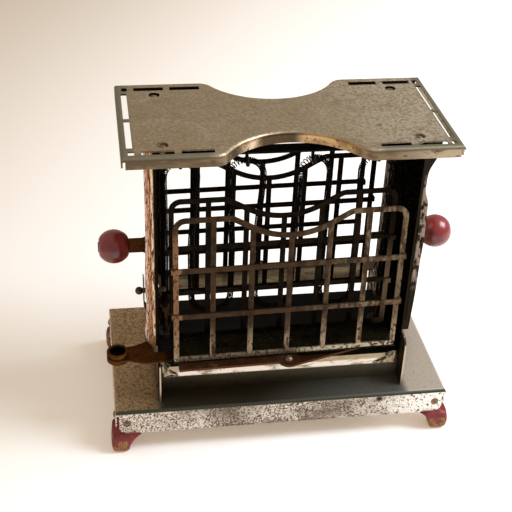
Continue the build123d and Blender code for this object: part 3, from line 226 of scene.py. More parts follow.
# ---------------------------------------------------------------- finishes
def top_plate_layers(tree, place):
    """Tan stain in broad clouds over grey plate, mottled by fine brown bloom, with a few drops of rust,
    painted shade to the left and painted light to the right; the rolled rim has a painted highlight where the
    plate narrows, the front flange is smoked brown, and faces turned in or down are painted near black as
    shade."""
    clouds = patches(tree, place, 30, 0.36, 0.66)
    pale = patches(tree, place, 14, 0.50, 0.74, stretch=(1.8, 1, 1), shift=11)
    stains = patches(tree, place, 9, 0.50, 0.74, stretch=(1.5, 1, 1), shift=3)
    # painted shade and painted light: the plate is painted darker to the left and lighter to the right, the
    # side the lamp is on
    left = axis_mask(tree, place, "X", 35, -85)
    right = axis_mask(tree, place, "X", 0, 75)
    bloom = patches(tree, place, 2.0, 0.38, 0.66, detail=8, shift=7)
    bare = patches(tree, place, 1.6, 0.50, 0.74, detail=8, shift=17)
    freckles = patches(tree, place, 1.3, 0.62, 0.68, detail=5)
    flange = axis_mask(tree, place, "Z", 189.7, 188.6)
    soft = patches(tree, place, 9, 0.42, 0.66, stretch=(3.0, 1, 0.6), shift=5, within=flange)
    # painted highlight: the rolled rim where the plate narrows is painted bright and gold, and darker in its
    # middle where the highlight breaks
    rim = axis_mask(tree, place, "Z", 190.25, 189.0)
    waist_highlight = axis_mask(tree, place, "X", 39, 30, both_sides=True, within=rim)
    waist_dull = patches(tree, place, 9.0, 0.38, 0.66, stretch=(2.5, 1, 1), detail=8, shift=9, within=waist_highlight)
    waist_highlight_gold = axis_mask(tree, place, "X", 0, 10, within=waist_highlight)
    waist_mid = overlap(tree, waist_highlight, axis_mask(tree, place, "X", -22, -14),
                        axis_mask(tree, place, "X", 10, 2))
    waist_rust = patches(tree, place, 2.0, 0.55, 0.66, detail=8, shift=14, within=waist_highlight)
    ends = axis_mask(tree, place, "X", 83, 86, both_sides=True)
    front_strip = overlap(tree, axis_mask(tree, place, "Y", -39, -41),
                          axis_mask(tree, place, "X", 42, 48, both_sides=True))
    frame_strip = overlap(tree, ends, front_strip, how="MAXIMUM")
    flange_rust = patches(tree, place, 2.6, 0.52, 0.66, stretch=(2, 1, 1), detail=8, shift=25, within=flange)
    # painted shade: faces turned in towards the middle or down under the plate are painted near black
    normal = add(tree, "ShaderNodeTexCoord").outputs["Normal"]
    facing = add(tree, "ShaderNodeSeparateXYZ", {0: normal})
    depth = add(tree, "ShaderNodeSeparateXYZ", {0: place}).outputs["Y"]
    away = add(tree, "ShaderNodeMath", {0: facing.outputs["Y"], 1: depth}, operation="MULTIPLY").outputs[0]
    underside_shade = overlap(tree, smooth_step(tree, away, -0.004, -0.012),
                        smooth_step(tree, facing.outputs["Z"], -0.6, -0.9), how="MAXIMUM")
    flange_right = axis_mask(tree, place, "X", 48, 78, within=flange)
    spots = pits(tree, place, 19, 0.05)
    return [(clouds, "#A99C84", 0.50, 0.75, 0.0), (left, "#9F8C70", None, None, None),
            (right, "#C0B5A2", None, None, None), (pale, "#B8AC95", 0.42, 0.85, 0.0),
            (stains, "#86745A", 0.55, 0.6, 0.0), (bloom, "#8B785C", 0.52, 0.7, 0.01),
            # painted light: the rubbed patches are painted lighter on the right
            (bare, "#B9AB90", 0.45, 0.8, 0.01), (overlap(tree, bare, right), "#CDC2AE", None, None, None),
            (freckles, "#574530", 0.7, 0.3, 0.0),
            (frame_strip, "#7C7561", None, None, None), (flange, "#5F523F", 0.42, 0.8, 0.0),
            (soft, "#7E6E55", 0.38, 0.9, 0.0), (flange_right, "#A8987F", 0.34, 0.95, 0.0),
            (flange_rust, "#6E4E38", 0.5, 0.7, 0.0), (waist_highlight, "#E2CAA8", 0.24, 1.0, 0.0),
            (waist_highlight_gold, "#CDAC7C", None, None, None), (waist_dull, "#9A7A58", 0.30, 0.9, 0.0),
            (waist_mid, "#4C3E2B", 0.30, 0.9, 0.0), (waist_rust, "#6B4428", 0.5, 0.6, 0.01),
            (spots, "#2B2018", 0.8, 0.1, -0.05), (underside_shade, "#14110B", 0.7, 0.9, 0.0)]


def base_plate_layers(tree, place):
    """Top: brown film at the left, clean grey plate at the right, smoked dark before the plinth. Flanges:
    bright plate, peppered with dark pits that crowd together towards the middle."""
    clouds = patches(tree, place, 16, 0.40, 0.64)
    right = axis_mask(tree, place, "X", -20, 60)
    bloom = patches(tree, place, 2.4, 0.44, 0.66, detail=8, shift=5)
    freckles = patches(tree, place, 1.2, 0.62, 0.67, detail=5)
    smoked = overlap(tree, axis_mask(tree, place, "X", 78, 71, both_sides=True),
                     axis_mask(tree, place, "Z", 28.0, 28.6))
    smoked_blue = axis_mask(tree, place, "X", -30, 60, within=smoked)
    embers = patches(tree, place, 1.6, 0.58, 0.70, detail=3, shift=6, within=smoked)
    flange = axis_mask(tree, place, "Z", 28.2, 27.2)
    middle = axis_mask(tree, place, "X", 95, 30, both_sides=True, within=flange)
    clean = axis_mask(tree, place, "X", 40, 85, within=flange)
    grey = patches(tree, place, 20, 0.34, 0.66, stretch=(2, 1, 1), shift=4, within=middle)
    pepper = patches(tree, place, 1.3, 0.575, 0.60, detail=3, shift=1, within=flange)
    more = patches(tree, place, 1.2, 0.50, 0.54, detail=3, shift=12, within=middle)
    more = patches(tree, place, 9, 0.42, 0.56, shift=15, within=more)
    fine = overlap(tree, flange, axis_mask(tree, place, "X", 80, 20),
                   patches(tree, place, 1.1, 0.53, 0.57, detail=4, shift=26))
    blots = patches(tree, place, 3.4, 0.64, 0.68, detail=6, shift=3, within=flange)
    large = pits(tree, place, 17, 0.10, within=flange)
    drops = pits(tree, place, 11, 0.05)
    grit = overlap(tree, patches(tree, place, 0.8, 0.54, 0.58, detail=2, shift=19), right, how="SUBTRACT")
    fold = overlap(tree, axis_mask(tree, place, "Y", -50.9, -51.5),
                   axis_mask(tree, place, "Z", 27.2, 27.7))
    return [(clouds, "#BFA37F", 0.42, 0.85, 0.0), (right, "#DAD3C8", 0.36, 0.9, 0.0),
            (overlap(tree, bloom, right, how="SUBTRACT"), "#86704F", 0.5, 0.7, 0.0),
            (grit, "#73583A", 0.55, 0.6, 0.0), (freckles, "#584734", 0.65, 0.4, -0.02),
            (smoked, "#423D2E", 0.44, 0.6, 0.0),
            (smoked_blue, "#66655D", 0.44, 0.6, 0.0), (embers, "#4A3E2C", 0.55, 0.4, 0.0),
            (flange, "#E4D8C9", 0.32, 0.75, 0.0), (clean, "#FFF9EE", None, None, None),
            (grey, "#8A7E70", 0.42, 0.8, 0.0),
            (pepper, "#4A3322", 0.6, 0.7, -0.04), (more, "#4E4236", 0.55, 0.7, -0.03),
            (fine, "#7A6450", 0.5, 0.7, -0.02),
            (blots, "#5A3C26", 0.65, 0.5, -0.03), (large, "#2E2218", 0.8, 0.1, -0.08),
            (fold, "#4A4B40", 0.4, 0.9, 0.0), (drops, "#46321F", 0.75, 0.1, -0.03)]


def panel_layers(tree, place):
    """Left flange: pinkish brown rust in fine upright streaks, with a pale crown on the bead. Right flange:
    blackened, with pale flakes of plate left high up. The web is tan outside, its inner faces are painted
    near black as shade with a patch of painted light at the right web's rear, and cut edges are bright."""
    streaks = patches(tree, place, 1.1, 0.38, 0.58, stretch=(0.5, 1, 10))
    crown = overlap(tree, axis_mask(tree, place, "Y", -34.3, -34.8),
                    patches(tree, place, 1.6, 0.36, 0.50, stretch=(0.6, 1, 6), shift=2))
    rim = overlap(tree, axis_mask(tree, place, "X", -77.8, -78.6),
                  patches(tree, place, 1.8, 0.38, 0.52, stretch=(0.6, 1, 5), shift=12))
    rust = patches(tree, place, 1.3, 0.50, 0.60, stretch=(0.45, 1, 4), shift=6)
    holes = patches(tree, place, 0.9, 0.60, 0.68, detail=3, shift=4)
    outside = axis_mask(tree, place, "X", 73.2, 73.35, both_sides=True)
    front = axis_mask(tree, place, "Y", -32.6, -33.1)
    web = overlap(tree, outside, front, how="SUBTRACT")
    web_clouds = patches(tree, place, 16, 0.38, 0.62, stretch=(1, 1, 2.5), shift=21, within=web)
    web_mottle = patches(tree, place, 2.2, 0.44, 0.68, detail=8, shift=22, within=web)
    web_runs = patches(tree, place, 2.6, 0.55, 0.68, stretch=(1, 1, 9), detail=6, shift=23, within=web)
    web_rust = overlap(tree, axis_mask(tree, place, "Y", 24, 34, both_sides=True),
                       axis_mask(tree, place, "Z", 64, 34), how="MAXIMUM")
    web_rust = overlap(tree, web, web_rust, patches(tree, place, 3.5, 0.46, 0.58, detail=8, shift=24))
    near_web = axis_mask(tree, place, "X", 74.9, 74.1, both_sides=True, within=front)
    blackened = axis_mask(tree, place, "X", 0, 10, within=front)
    high = overlap(tree, axis_mask(tree, place, "Z", 88, 104), axis_mask(tree, place, "Z", 172, 160))
    flaked = overlap(tree, blackened, high, axis_mask(tree, place, "X", 73.8, 75.0))
    flakes = patches(tree, place, 3.0, 0.46, 0.52, stretch=(1, 1, 1.8), detail=8, shift=3, within=flaked)
    edge = overlap(tree, axis_mask(tree, place, "Y", -44.3, -44.6), axis_mask(tree, place, "Z", 64, 62.5))
    crest = overlap(tree, axis_mask(tree, place, "Z", 61.8, 62.1),
                    axis_mask(tree, place, "Z", 62.9, 62.6))
    crest = axis_mask(tree, place, "Y", -34.2, -34.6, within=crest)
    # painted shade: the web's inner faces are painted near black
    inside = axis_mask(tree, place, "X", 72.95, 72.65, both_sides=True)
    # painted light: a pale patch at the rear of the right web's inner face
    far = axis_mask(tree, place, "Y", 13, 18, within=inside)
    far = overlap(tree, far, axis_mask(tree, place, "X", 0, 10),
                  patches(tree, place, 2.5, 0.40, 0.60, stretch=(1, 1, 2.5), detail=8, shift=5))
    cheek = axis_mask(tree, place, "Y", -34, -36, within=inside)
    return [(streaks, "#AC7A56", 0.5, 0.8, 0.0), (crown, "#E6CDB2", 0.30, 0.95, 0.01),
            (rim, "#CDB4A6", 0.34, 0.9, 0.0), (rust, "#6E4128", 0.6, 0.6, 0.02),
            (web, "#B3A48A", 0.40, 0.9, 0.0), (web_clouds, "#8F8068", None, None, None),
            (web_mottle, "#9A8768", 0.5, 0.75, 0.0), (web_runs, "#7C6347", 0.5, 0.7, 0.0),
            (web_rust, "#6E5036", 0.6, 0.5, 0.01), (near_web, "#171209", 0.6, 0.9, 0.0),
            (blackened, "#29241A", 0.5, 0.9, 0.0), (flakes, "#8E7D70", 0.38, 0.9, 0.03),
            (inside, "#100C07", 0.75, 1.0, 0.0), (far, "#A8998C", 0.5, 0.9, 0.0),
            (cheek, "#5C5646", 0.42, 0.9, 0.0),
            (overlap(tree, edge, crest, how="ADD"), "#C4B497", 0.35, 0.9, 0.0),
            (holes, "#2E2014", 0.7, 0.4, -0.04)]


def plinth_layers(tree, place):
    """Smoked olive film over the apron, soot on the shelf and behind; the front skirt is rubbed back to tan
    plate, and its lower edge is painted near white as a painted highlight."""
    smoke = patches(tree, place, 18, 0.40, 0.64, stretch=(2.5, 1, 1))
    right = axis_mask(tree, place, "X", -40, 60)
    rust = patches(tree, place, 2.2, 0.60, 0.68, detail=3, shift=1)
    front = axis_mask(tree, place, "Y", -32.0, -33.0)
    # painted highlight: the skirt's lower edge, below the tan, is painted near white
    skirt = axis_mask(tree, place, "Z", 38.7, 39.1, within=front)
    tan = axis_mask(tree, place, "Z", 41.6, 42.8, within=skirt)
    streaks = patches(tree, place, 2.0, 0.50, 0.64, stretch=(6, 1, 1), shift=3, within=skirt)
    chips = patches(tree, place, 1.3, 0.64, 0.69, shift=8, within=skirt)
    shelf = axis_mask(tree, place, "Z", 44.9, 45.3)
    return [(smoke, "#4C4534", 0.42, 0.9, 0.0), (right, "#6E6858", 0.38, 0.9, 0.0),
            (rust, "#4A3826", 0.6, 0.4, 0.0), (skirt, "#F6EDE0", 0.28, 0.85, 0.0),
            (tan, "#BCA98A", 0.34, 0.85, 0.0), (streaks, "#A08F74", 0.36, 0.85, 0.0),
            (chips, "#4A3526", 0.7, 0.2, -0.02), (shelf, "#14110D", 0.75, 0.15, 0.0)]


def corner_layers(tree, place):
    """Creased plate: bright, with duller worn patches, brown rust and dark specks."""
    worn = patches(tree, place, 2.6, 0.40, 0.56, detail=5)
    rust = patches(tree, place, 1.6, 0.56, 0.64, detail=4, shift=3)
    hole = patches(tree, place, 4.0, 0.60, 0.64, shift=6)
    return [(worn, "#CDBDA2", 0.34, 0.9, 0.0), (rust, "#8A6C50", 0.5, 0.7, 0.0),
            (hole, "#1A140D", 0.7, 0.8, -0.05)]


def cage_layers(tree, place):
    """Iron oxide over the strips, brown at the front, redder to the left and tan to the right, rusty bare
    plate low down and bright plate along the bottom bar; the inner grids and faces turned in stay near black
    as painted shade."""
    brown = patches(tree, place, 6, 0.40, 0.62)
    normal = add(tree, "ShaderNodeTexCoord").outputs["Normal"]
    facing = add(tree, "ShaderNodeSeparateXYZ", {0: normal}).outputs["Y"]
    # painted shade: only faces turned outwards are lifted to brown; the inner grids and the rear grid's inner
    # faces keep the near black base
    rear_face = overlap(tree, axis_mask(tree, place, "Y", 33, 36), smooth_step(tree, facing, 0.3, 0.6))
    outside = overlap(tree, axis_mask(tree, place, "Y", -33, -36), rear_face, how="ADD")
    red = patches(tree, place, 1.8, 0.52, 0.62, stretch=(1, 1, 1.6), shift=2, within=outside)
    right = axis_mask(tree, place, "X", -10, 60, within=outside)
    low = axis_mask(tree, place, "Z", 88, 66, within=outside)
    worn = patches(tree, place, 4, 0.42, 0.60, stretch=(1, 1, 3), shift=4, within=outside)
    left_bar = axis_mask(tree, place, "X", -59.5, -61.0, within=outside)
    left_bar = axis_mask(tree, place, "Z", 148, 138, within=left_bar)
    bare = patches(tree, place, 3.0, 0.36, 0.54, stretch=(1, 1, 4), shift=9, within=low)
    foot = axis_mask(tree, place, "Z", 63.0, 62.3, within=outside)
    foot_rust = patches(tree, place, 1.8, 0.52, 0.62, shift=7, within=foot)
    inner_right = overlap(tree, axis_mask(tree, place, "Y", -20, -21),
                          axis_mask(tree, place, "X", 56, 60))
    inner_right = axis_mask(tree, place, "Z", 130, 90, within=inner_right)
    return [(brown, "#241B11", 0.6, 0.8, 0.0), (outside, "#443322", 0.52, 0.6, 0.0),
            (overlap(tree, outside, brown), "#2E2216", 0.6, 0.5, 0.0),
            (overlap(tree, right, worn), "#7A6B53", 0.42, 0.75, 0.0),
            (inner_right, "#6A5844", 0.45, 0.7, 0.0), (left_bar, "#7C5C42", 0.42, 0.85, 0.0),
            (bare, "#92826A", 0.38, 0.85, 0.0), (foot, "#A89F89", 0.32, 0.95, 0.0),
            (red, "#4F321E", 0.6, 0.6, 0.03), (foot_rust, "#5A4632", 0.65, 0.3, 0.02)]


def film_layers(tree, place):
    """Brown varnish-like rust film, redder in clouds, darker where handled; the tray between the end panels
    is painted near black as a painted dark reflection of the heater above, with crumbs; the inside of the
    handle cup is painted shade."""
    red = patches(tree, place, 9, 0.44, 0.62)
    dark = patches(tree, place, 5, 0.54, 0.68, shift=4)
    specks = patches(tree, place, 0.9, 0.60, 0.66, detail=2)
    # painted reflection: the tray between the end panels is painted near black for the dark heater it mirrors
    between = axis_mask(tree, place, "X", 72, 66, both_sides=True)
    olive = patches(tree, place, 12, 0.40, 0.60, stretch=(3, 1, 1), shift=6, within=between)
    crumbs = patches(tree, place, 0.8, 0.71, 0.74, detail=1, shift=2, within=between)
    # painted shade: the inside of the handle cup is painted near black
    cup = add(tree, "ShaderNodeVectorMath", {0: place, 1: [v * MM for v in CUP]}, operation="DISTANCE")
    hollow_shade = smooth_step(tree, cup.outputs["Value"], 5.4 * MM, 4.6 * MM)
    return [(red, "#5F3612", 0.45, 0.85, 0.0), (dark, "#2E1A09", 0.5, 0.85, 0.0),
            (specks, "#6E4622", 0.55, 0.7, 0.01), (between, "#15120A", 0.6, 0.85, 0.0),
            (olive, "#2A2516", 0.55, 0.85, 0.0), (crumbs, "#756B50", 0.7, 0.0, 0.03),
            (hollow_shade, "#0C0B07", 0.6, 0.9, 0.0)]


def tray_layers(tree, place):
    """Dull plate in the middle of the tray with a long soft painted sheen, stains and dark pits; brown
    towards the neck."""
    # painted highlight: a long soft sheen painted along the tray
    sheen = patches(tree, place, 9, 0.40, 0.64, stretch=(5, 1, 1))
    stains = patches(tree, place, 5, 0.54, 0.66, stretch=(2, 1, 1), shift=4)
    spots = pits(tree, place, 4.5, 0.10)
    specks = patches(tree, place, 1.0, 0.62, 0.68, detail=2, shift=8)
    neck = axis_mask(tree, place, "X", 62, 72, both_sides=True)
    return [(sheen, "#A09278", 0.32, 0.9, 0.0), (stains, "#5E5140", 0.45, 0.7, 0.0),
            (specks, "#40352A", 0.7, 0.2, -0.02), (spots, "#221B14", 0.8, 0.1, -0.03),
            (neck, "#3E2816", 0.5, 0.35, 0.0)]


def arm_layers(tree, place):
    """Tarnished strip: purple-brown oxide with streaks of plate along it."""
    clouds = patches(tree, place, 8, 0.44, 0.62)
    plate = patches(tree, place, 5, 0.60, 0.68, stretch=(4, 1, 1), shift=3)
    specks = patches(tree, place, 1.0, 0.60, 0.66, detail=2)
    return [(clouds, "#4A3022", 0.5, 0.6, 0.0), (plate, "#8F7C66", 0.3, 0.9, 0.0),
            (specks, "#2C1D13", 0.7, 0.2, -0.02)]


def fastener_layers(tree, place):
    """Steel heads, brown, with lighter rubbed patches and dark specks."""
    clouds = patches(tree, place, 1.6, 0.42, 0.58)
    specks = patches(tree, place, 0.6, 0.60, 0.66, detail=2)
    return [(clouds, "#9A866C", 0.35, 0.9, 0.0), (specks, "#35271B", 0.7, 0.2, -0.02)]


def wire_layers(tree, place):
    """Dark oxide with a little bare metal high up, blackest at the foot."""
    bare = patches(tree, place, 1.5, 0.60, 0.68)
    rust = patches(tree, place, 4.0, 0.56, 0.66, shift=4)
    low = axis_mask(tree, place, "Z", 104, 84)
    return [(bare, "#6A645A", 0.35, 1.0, 0.0), (rust, "#33241A", 0.6, 0.7, 0.0),
            (low, "#191511", 0.6, 0.9, 0.0)]


def glaze_layers(tree, place):
    """Glazed white clay, browned by smoke, with a few dark specks."""
    smoke = patches(tree, place, 4, 0.44, 0.62)
    specks = pits(tree, place, 2.2, 0.06)
    return [(smoke, "#A8977B", 0.3, 0.0, 0.0), (specks, "#3B2D20", 0.5, 0.0, 0.0)]


def soot_layers(tree, place):
    """Brown-black smoke with a little clay showing through."""
    bare = patches(tree, place, 1.6, 0.60, 0.70)
    black = patches(tree, place, 3, 0.44, 0.60, shift=3)
    return [(black, "#1C1712", 0.7, 0.0, 0.0), (bare, "#6B5D4A", 0.4, 0.0, 0.0)]


def brass_layers(tree, place):
    """Yellow metal under brown tarnish."""
    tarnish = patches(tree, place, 3, 0.42, 0.60)
    specks = patches(tree, place, 0.8, 0.60, 0.66)
    return [(tarnish, "#3F3220", 0.5, 0.7, 0.0), (specks, "#241C12", 0.7, 0.4, 0.0)]


def lacquer_layers(tree, place):
    """Red lacquer over beech: darker clouds, rubbed brown patches, small chips."""
    dark = patches(tree, place, 8, 0.46, 0.64)
    rubbed = patches(tree, place, 4, 0.60, 0.70, shift=5)
    chips = pits(tree, place, 5, 0.05)
    return [(dark, "#641A1D", 0.38, 0.0, 0.0), (rubbed, "#7A3A2A", 0.5, 0.0, -0.02),
            (chips, "#2A120E", 0.6, 0.0, -0.05)]


def foot_layers(tree, place):
    """Red lacquer that is worn off the lower edge down to brown beech, whose grain runs upright."""
    dark = patches(tree, place, 7, 0.46, 0.64)
    ragged = patches(tree, place, 5, 0.36, 0.64, shift=2)
    low = axis_mask(tree, place, "Z", 11, 3)
    bare = smooth_step(tree, add(tree, "ShaderNodeMath", {0: low, 1: ragged}, operation="ADD").outputs[0],
                       1.02, 1.12)
    grain = patches(tree, place, 0.8, 0.48, 0.6, stretch=(1, 1, 8), within=bare)
    scuffs = patches(tree, place, 2.0, 0.62, 0.68, shift=6)
    return [(dark, "#5A1618", 0.42, 0.0, 0.0), (scuffs, "#8A4A33", 0.6, 0.0, -0.02),
            (bare, "#B07A4C", 0.7, 0.0, -0.15), (grain, "#8B5A33", 0.75, 0.0, -0.17)]


def leaf_layers(tree, place):
    """Spring steel, blued and then browned."""
    brown = patches(tree, place, 4, 0.42, 0.60)
    specks = patches(tree, place, 0.9, 0.58, 0.64)
    return [(brown, "#4F3C2A", 0.5, 0.6, 0.0), (specks, "#7A6852", 0.4, 0.8, 0.0)]


# Nickel plate rolled on pressed sheet steel: grey-tan where it has dulled, mirror-like where it is rubbed,
# with a painted highlight on the rim where the plate narrows.
nickel_top = finish("heat_stained_nickel_plate", ("#A8977A", 0.44, 0.8), top_plate_layers)
# The same plate low down, where damp has pitted it: sharp dark specks in a bright skin.
nickel_base = finish("pitted_nickel_plate", ("#AE9470", 0.42, 0.85), base_plate_layers)
# The plate of the end panels, streaked by rust that ran down.
nickel_panel = finish("streaked_nickel_plate", ("#CDA482", 0.34, 0.95), panel_layers, glance=0.25)
# Plinth plate under the heater: olive-brown smoke film that still mirrors a little.
nickel_plinth = finish("smoked_nickel_plate", ("#6B614D", 0.34, 0.95), plinth_layers, glance=0.7)
# The same plate where the skirt's corners were crushed: creases catch the light.
corner_plate = finish("creased_nickel_plate", ("#F0E6D4", 0.26, 0.9), corner_layers)
# Hot-worked strip steel of the cages: dry brown oxide, with painted shade left near black on the faces turned
# in.
cage_steel = finish("oxidised_strip_steel_and_painted_shade", ("#15100A", 0.55, 0.85), cage_layers, grain=(0.8, 0.05),
                    glance=0.3)
# Pressed handle tongue and cup: rust that has been polished by hands.
film_steel = finish("rust_filmed_steel", ("#4E2E12", 0.5, 0.85), film_layers, glance=0.3)
# Nickel plate of the rear tray, stained by crumbs, with a painted sheen along it.
tray_plate = finish("stained_nickel_plate", ("#6E614D", 0.40, 0.9), tray_layers, glance=0.6)
# Arms and bands: tarnished plate, purple-brown.
arm_steel = finish("tarnished_strip_steel", ("#54341F", 0.42, 0.9), arm_layers, glance=0.4)
# Turned and headed steel screws and rivets.
fastener_steel = finish("headed_steel", ("#6B5642", 0.45, 0.75), fastener_layers, grain=(0.4, 0.02))
# Drawn nickel-chrome resistance wire, oxidised near black by glowing. Its hooks are drawn iron.
resistance_wire = finish("oxidised_resistance_wire", ("#1D1A17", 0.45, 0.95), wire_layers, grain=(0.3, 0.01),
                         glance=0.5)
iron_wire = finish("drawn_iron_wire", ("#2E2620", 0.5, 0.8), wire_layers, grain=(0.3, 0.01))
# Glazed porcelain: glossy, cream, smoked.
porcelain = finish("glazed_porcelain", ("#D3C6AB", 0.22, 0.0), glaze_layers, varnish=(0.6, 0.1))
# The same clay beside the heater, where the glaze has burned and sooted to brown-black.
sooted_clay = finish("sooted_porcelain", ("#3A3027", 0.5, 0.0), soot_layers)
# Turned brass, tarnished.
old_brass = finish("tarnished_brass", ("#6B5530", 0.4, 0.9), brass_layers, grain=(0.4, 0.01))
# Turned beech under red spirit lacquer: a deep colour with a soft gloss.
lacquer = finish("red_lacquered_beech", ("#8C2428", 0.34, 0.0), lacquer_layers, grain=(1.2, 0.02),
                 varnish=(0.5, 0.18))
foot_lacquer = finish("worn_red_lacquered_beech", ("#86231F", 0.4, 0.0), foot_layers, grain=(0.9, 0.04))
# Hardened spring steel strip.
leaf_steel = finish("blued_spring_steel", ("#3A322A", 0.4, 0.85), leaf_layers)

sides = ("front", "rear")
cage_parts = ("outer_frame", "inner_frame", "outer_rails", "inner_rails", "uprights")
arm_parts = ("pivot_band", "pivot_washer", "swing_arm")
node_finishes = {
    nickel_top: ["top_plate"],
    nickel_base: ["base_plate", "bottom_cover"],
    nickel_panel: ["end_panel_left", "end_panel_right"],
    nickel_plinth: ["plinth"],
    cage_steel: [f"{side}_{part}" for side in sides for part in cage_parts] + ["hanger_bar"],
    film_steel: ["front_floor", "front_ferrule", "rear_ferrule", "knob_bracket_left", "knob_bracket_right"],
    tray_plate: ["rear_floor"],
    arm_steel: [f"{side}_{part}" for side in sides for part in arm_parts] + ["arm_brackets", "bus_strips"],
    fastener_steel: ["arm_pins", "bracket_foot_rivets", "cover_screws", "foot_screws", "front_pivot_rivet",
                     "rear_pivot_rivet", "panel_rivets", "top_rivets", "web_rivets"],
    resistance_wire: ["heating_coil"],
    iron_wire: ["coil_hooks"],
    porcelain: ["inlet_block"],
    sooted_clay: ["hook_beads", "terminal_bushes"],
    old_brass: ["terminal_nuts", "terminal_posts", "inlet_pins"],
    lacquer: ["carry_knob_left", "carry_knob_right", "rear_handle_knob"],
    foot_lacquer: [f"foot_{side}_{end}" for side in sides for end in ("left", "right")],
    leaf_steel: ["catch_feet"] + [f"{side}_catch_{part}" for side in sides for part in ("spring", "pin")]}
finished = set()
for material, names in node_finishes.items():
    for name in names:
        holder = nodes[name]
        for spot in holder.material_slots:
            spot.material = material
        finished.add(name)
assert finished == set(nodes), set(nodes) ^ finished


# ---------------------------------------------------------------- turned wood
def knob_profile(radius, low, high, edge):
    """Ball outline as radius against length: a circle cut flat at low and high, each cut's corner eased by
    edge."""
    turn = np.linspace(math.acos(high / radius), math.acos(low / radius), 40)
    along, out = radius * np.cos(turn), radius * np.sin(turn)
    ease = np.minimum(np.minimum(high - along, along - low) / edge, 1)
    out = out - 0.5 * edge * (1 - ease) ** 2
    along = np.concatenate([[high], along, [low]])
    return along, np.concatenate([[0], out, [0]])


def carry_knob(side):
    """Ball turned about X: each point of the outline swept round the tang."""
    along, out = knob_profile(KNOB_RADIUS, -8.4, 8.6, 0.9)
    turn = np.linspace(0, 2 * np.pi, 64, endpoint=False)
    x, y, z = CARRY_KNOB
    points = np.stack([side * (x + along)[:, None] + 0 * turn, y + np.outer(out, np.cos(turn)),
                       z + np.outer(out, np.sin(turn))], axis=-1)
    end = "right" if side > 0 else "left"
    return skin(f"turned_carry_knob_{end}", points, "housing", [f"carry_knob_{end}"], lacquer,
                closed=(False, True))


def rear_knob():
    """Ball turned about Z above its stem, on the rear handle cup."""
    low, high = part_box("rear_handle_knob")
    middle = (np.array(low) + np.array(high)) / 2 / MM
    centre = high[2] / MM - KNOB_RADIUS
    along, out = knob_profile(KNOB_RADIUS, -9.0, KNOB_RADIUS, 0.4)
    along = np.concatenate([along[:-1], [low[2] / MM - centre] * 2])
    out = np.concatenate([out[:-1], [STEM_RADIUS, 0]])
    out[-3] = max(out[-3], STEM_RADIUS)
    turn = np.linspace(0, 2 * np.pi, 64, endpoint=False)
    points = np.stack([middle[0] + np.outer(out, np.cos(turn)), middle[1] + np.outer(out, np.sin(turn)),
                       (centre + along)[:, None] + 0 * turn], axis=-1)
    return skin("turned_handle_knob", points, "rear_basket", ["rear_handle_knob"], lacquer,
                closed=(False, True))


def foot(side_x, side_y):
    """Foot as a stack of superellipses: outer faces bulge in a shallow arc, inner faces cove in to the
    toe."""
    toe, show, top = 2.2, 12.6, 28.0    # rounding of the toe, height in view and whole height, mm
    quarter = np.linspace(0, np.pi / 2, 7)
    rise = np.concatenate([toe * (1 - np.cos(quarter)), np.linspace(2.9, 12.5, 16)])
    tuck = np.zeros(rise.size)
    tuck[:7] = toe * (1 - np.sin(quarter))
    share = rise / show
    outer = 1.0 * np.sin(np.pi * share) + 1.6 + 0.4 * share - tuck
    inner = -8.0 - 7.5 * share ** 2.6 + tuck
    rise = np.concatenate([[rise[0]], rise, [12.55, top, top]])
    outer = np.concatenate([[-3.2], outer, [-0.95, -0.95, -7.5]])
    inner = np.concatenate([[-3.2], inner, [-14.5, -14.5, -7.5]])
    c, s = superellipse(64, 5.5)
    half, middle = (outer - inner)[:, None] / 2, (outer + inner)[:, None] / 2
    points = np.stack([side_x * (100 + middle + half * c), side_y * (53 + middle + half * s),
                       rise[:, None] + 0 * c], axis=-1)
    name = f"{'rear' if side_y > 0 else 'front'}_{'right' if side_x > 0 else 'left'}"
    return skin(f"shaped_foot_{name}", points, "housing", [f"foot_{name}"], foot_lacquer,
                closed=(False, True))


for side in (-1, 1):
    carry_knob(side)
    for side_y in (-1, 1):
        foot(side, side_y)
rear_knob()


# ---------------------------------------------------------------- folded plinth corners
def plinth_corner(side):
    """Crushed corner fold of the plinth's skirt: a sheet whose front is pushed out by three ridges, each the
    absolute value of a line across the sheet folded at its middle, and which is drawn in to the skirt along
    its edges."""
    across, up = np.meshgrid(np.linspace(0, 1, 33), np.linspace(0, 1, 27), indexing="ij")
    length, height = (10.5, 10.0) if side < 0 else (15.0, 8.0)
    skirt_end, skirt_foot, skirt_face = 72.4, 38.6, 35.1    # where the fold is joined to the skirt, mm
    ridges = (1.5 * np.abs(across * 2.2 + up - 1.5) - 1.1 * np.abs(across - 1.3 * up + 0.1)
              + 0.5 * np.abs(3.0 * up - across * 1.4 - 1.0))
    drawn_in = np.minimum(np.minimum(across, 1 - across) * 5, 1) * np.minimum(np.minimum(up, 1 - up) * 5, 1)
    wall = skirt_face - 0.30 * (height * up)
    taper = 1 - 0.45 * up + 0.12 * np.sin(7 * up)
    points = np.stack([side * (skirt_end - length * across * taper),
                       -(wall + (0.9 + ridges) * drawn_in + 0.1),
                       skirt_foot + height * up * (1 - 0.35 * across) + 0.8 * np.sin(2.4 * across)], axis=-1)
    end = "right" if side > 0 else "left"
    return skin(f"crushed_plinth_corner_{end}", points, "housing", [], corner_plate,
                sheet=0.4)


for side in (-1, 1):
    plinth_corner(side)


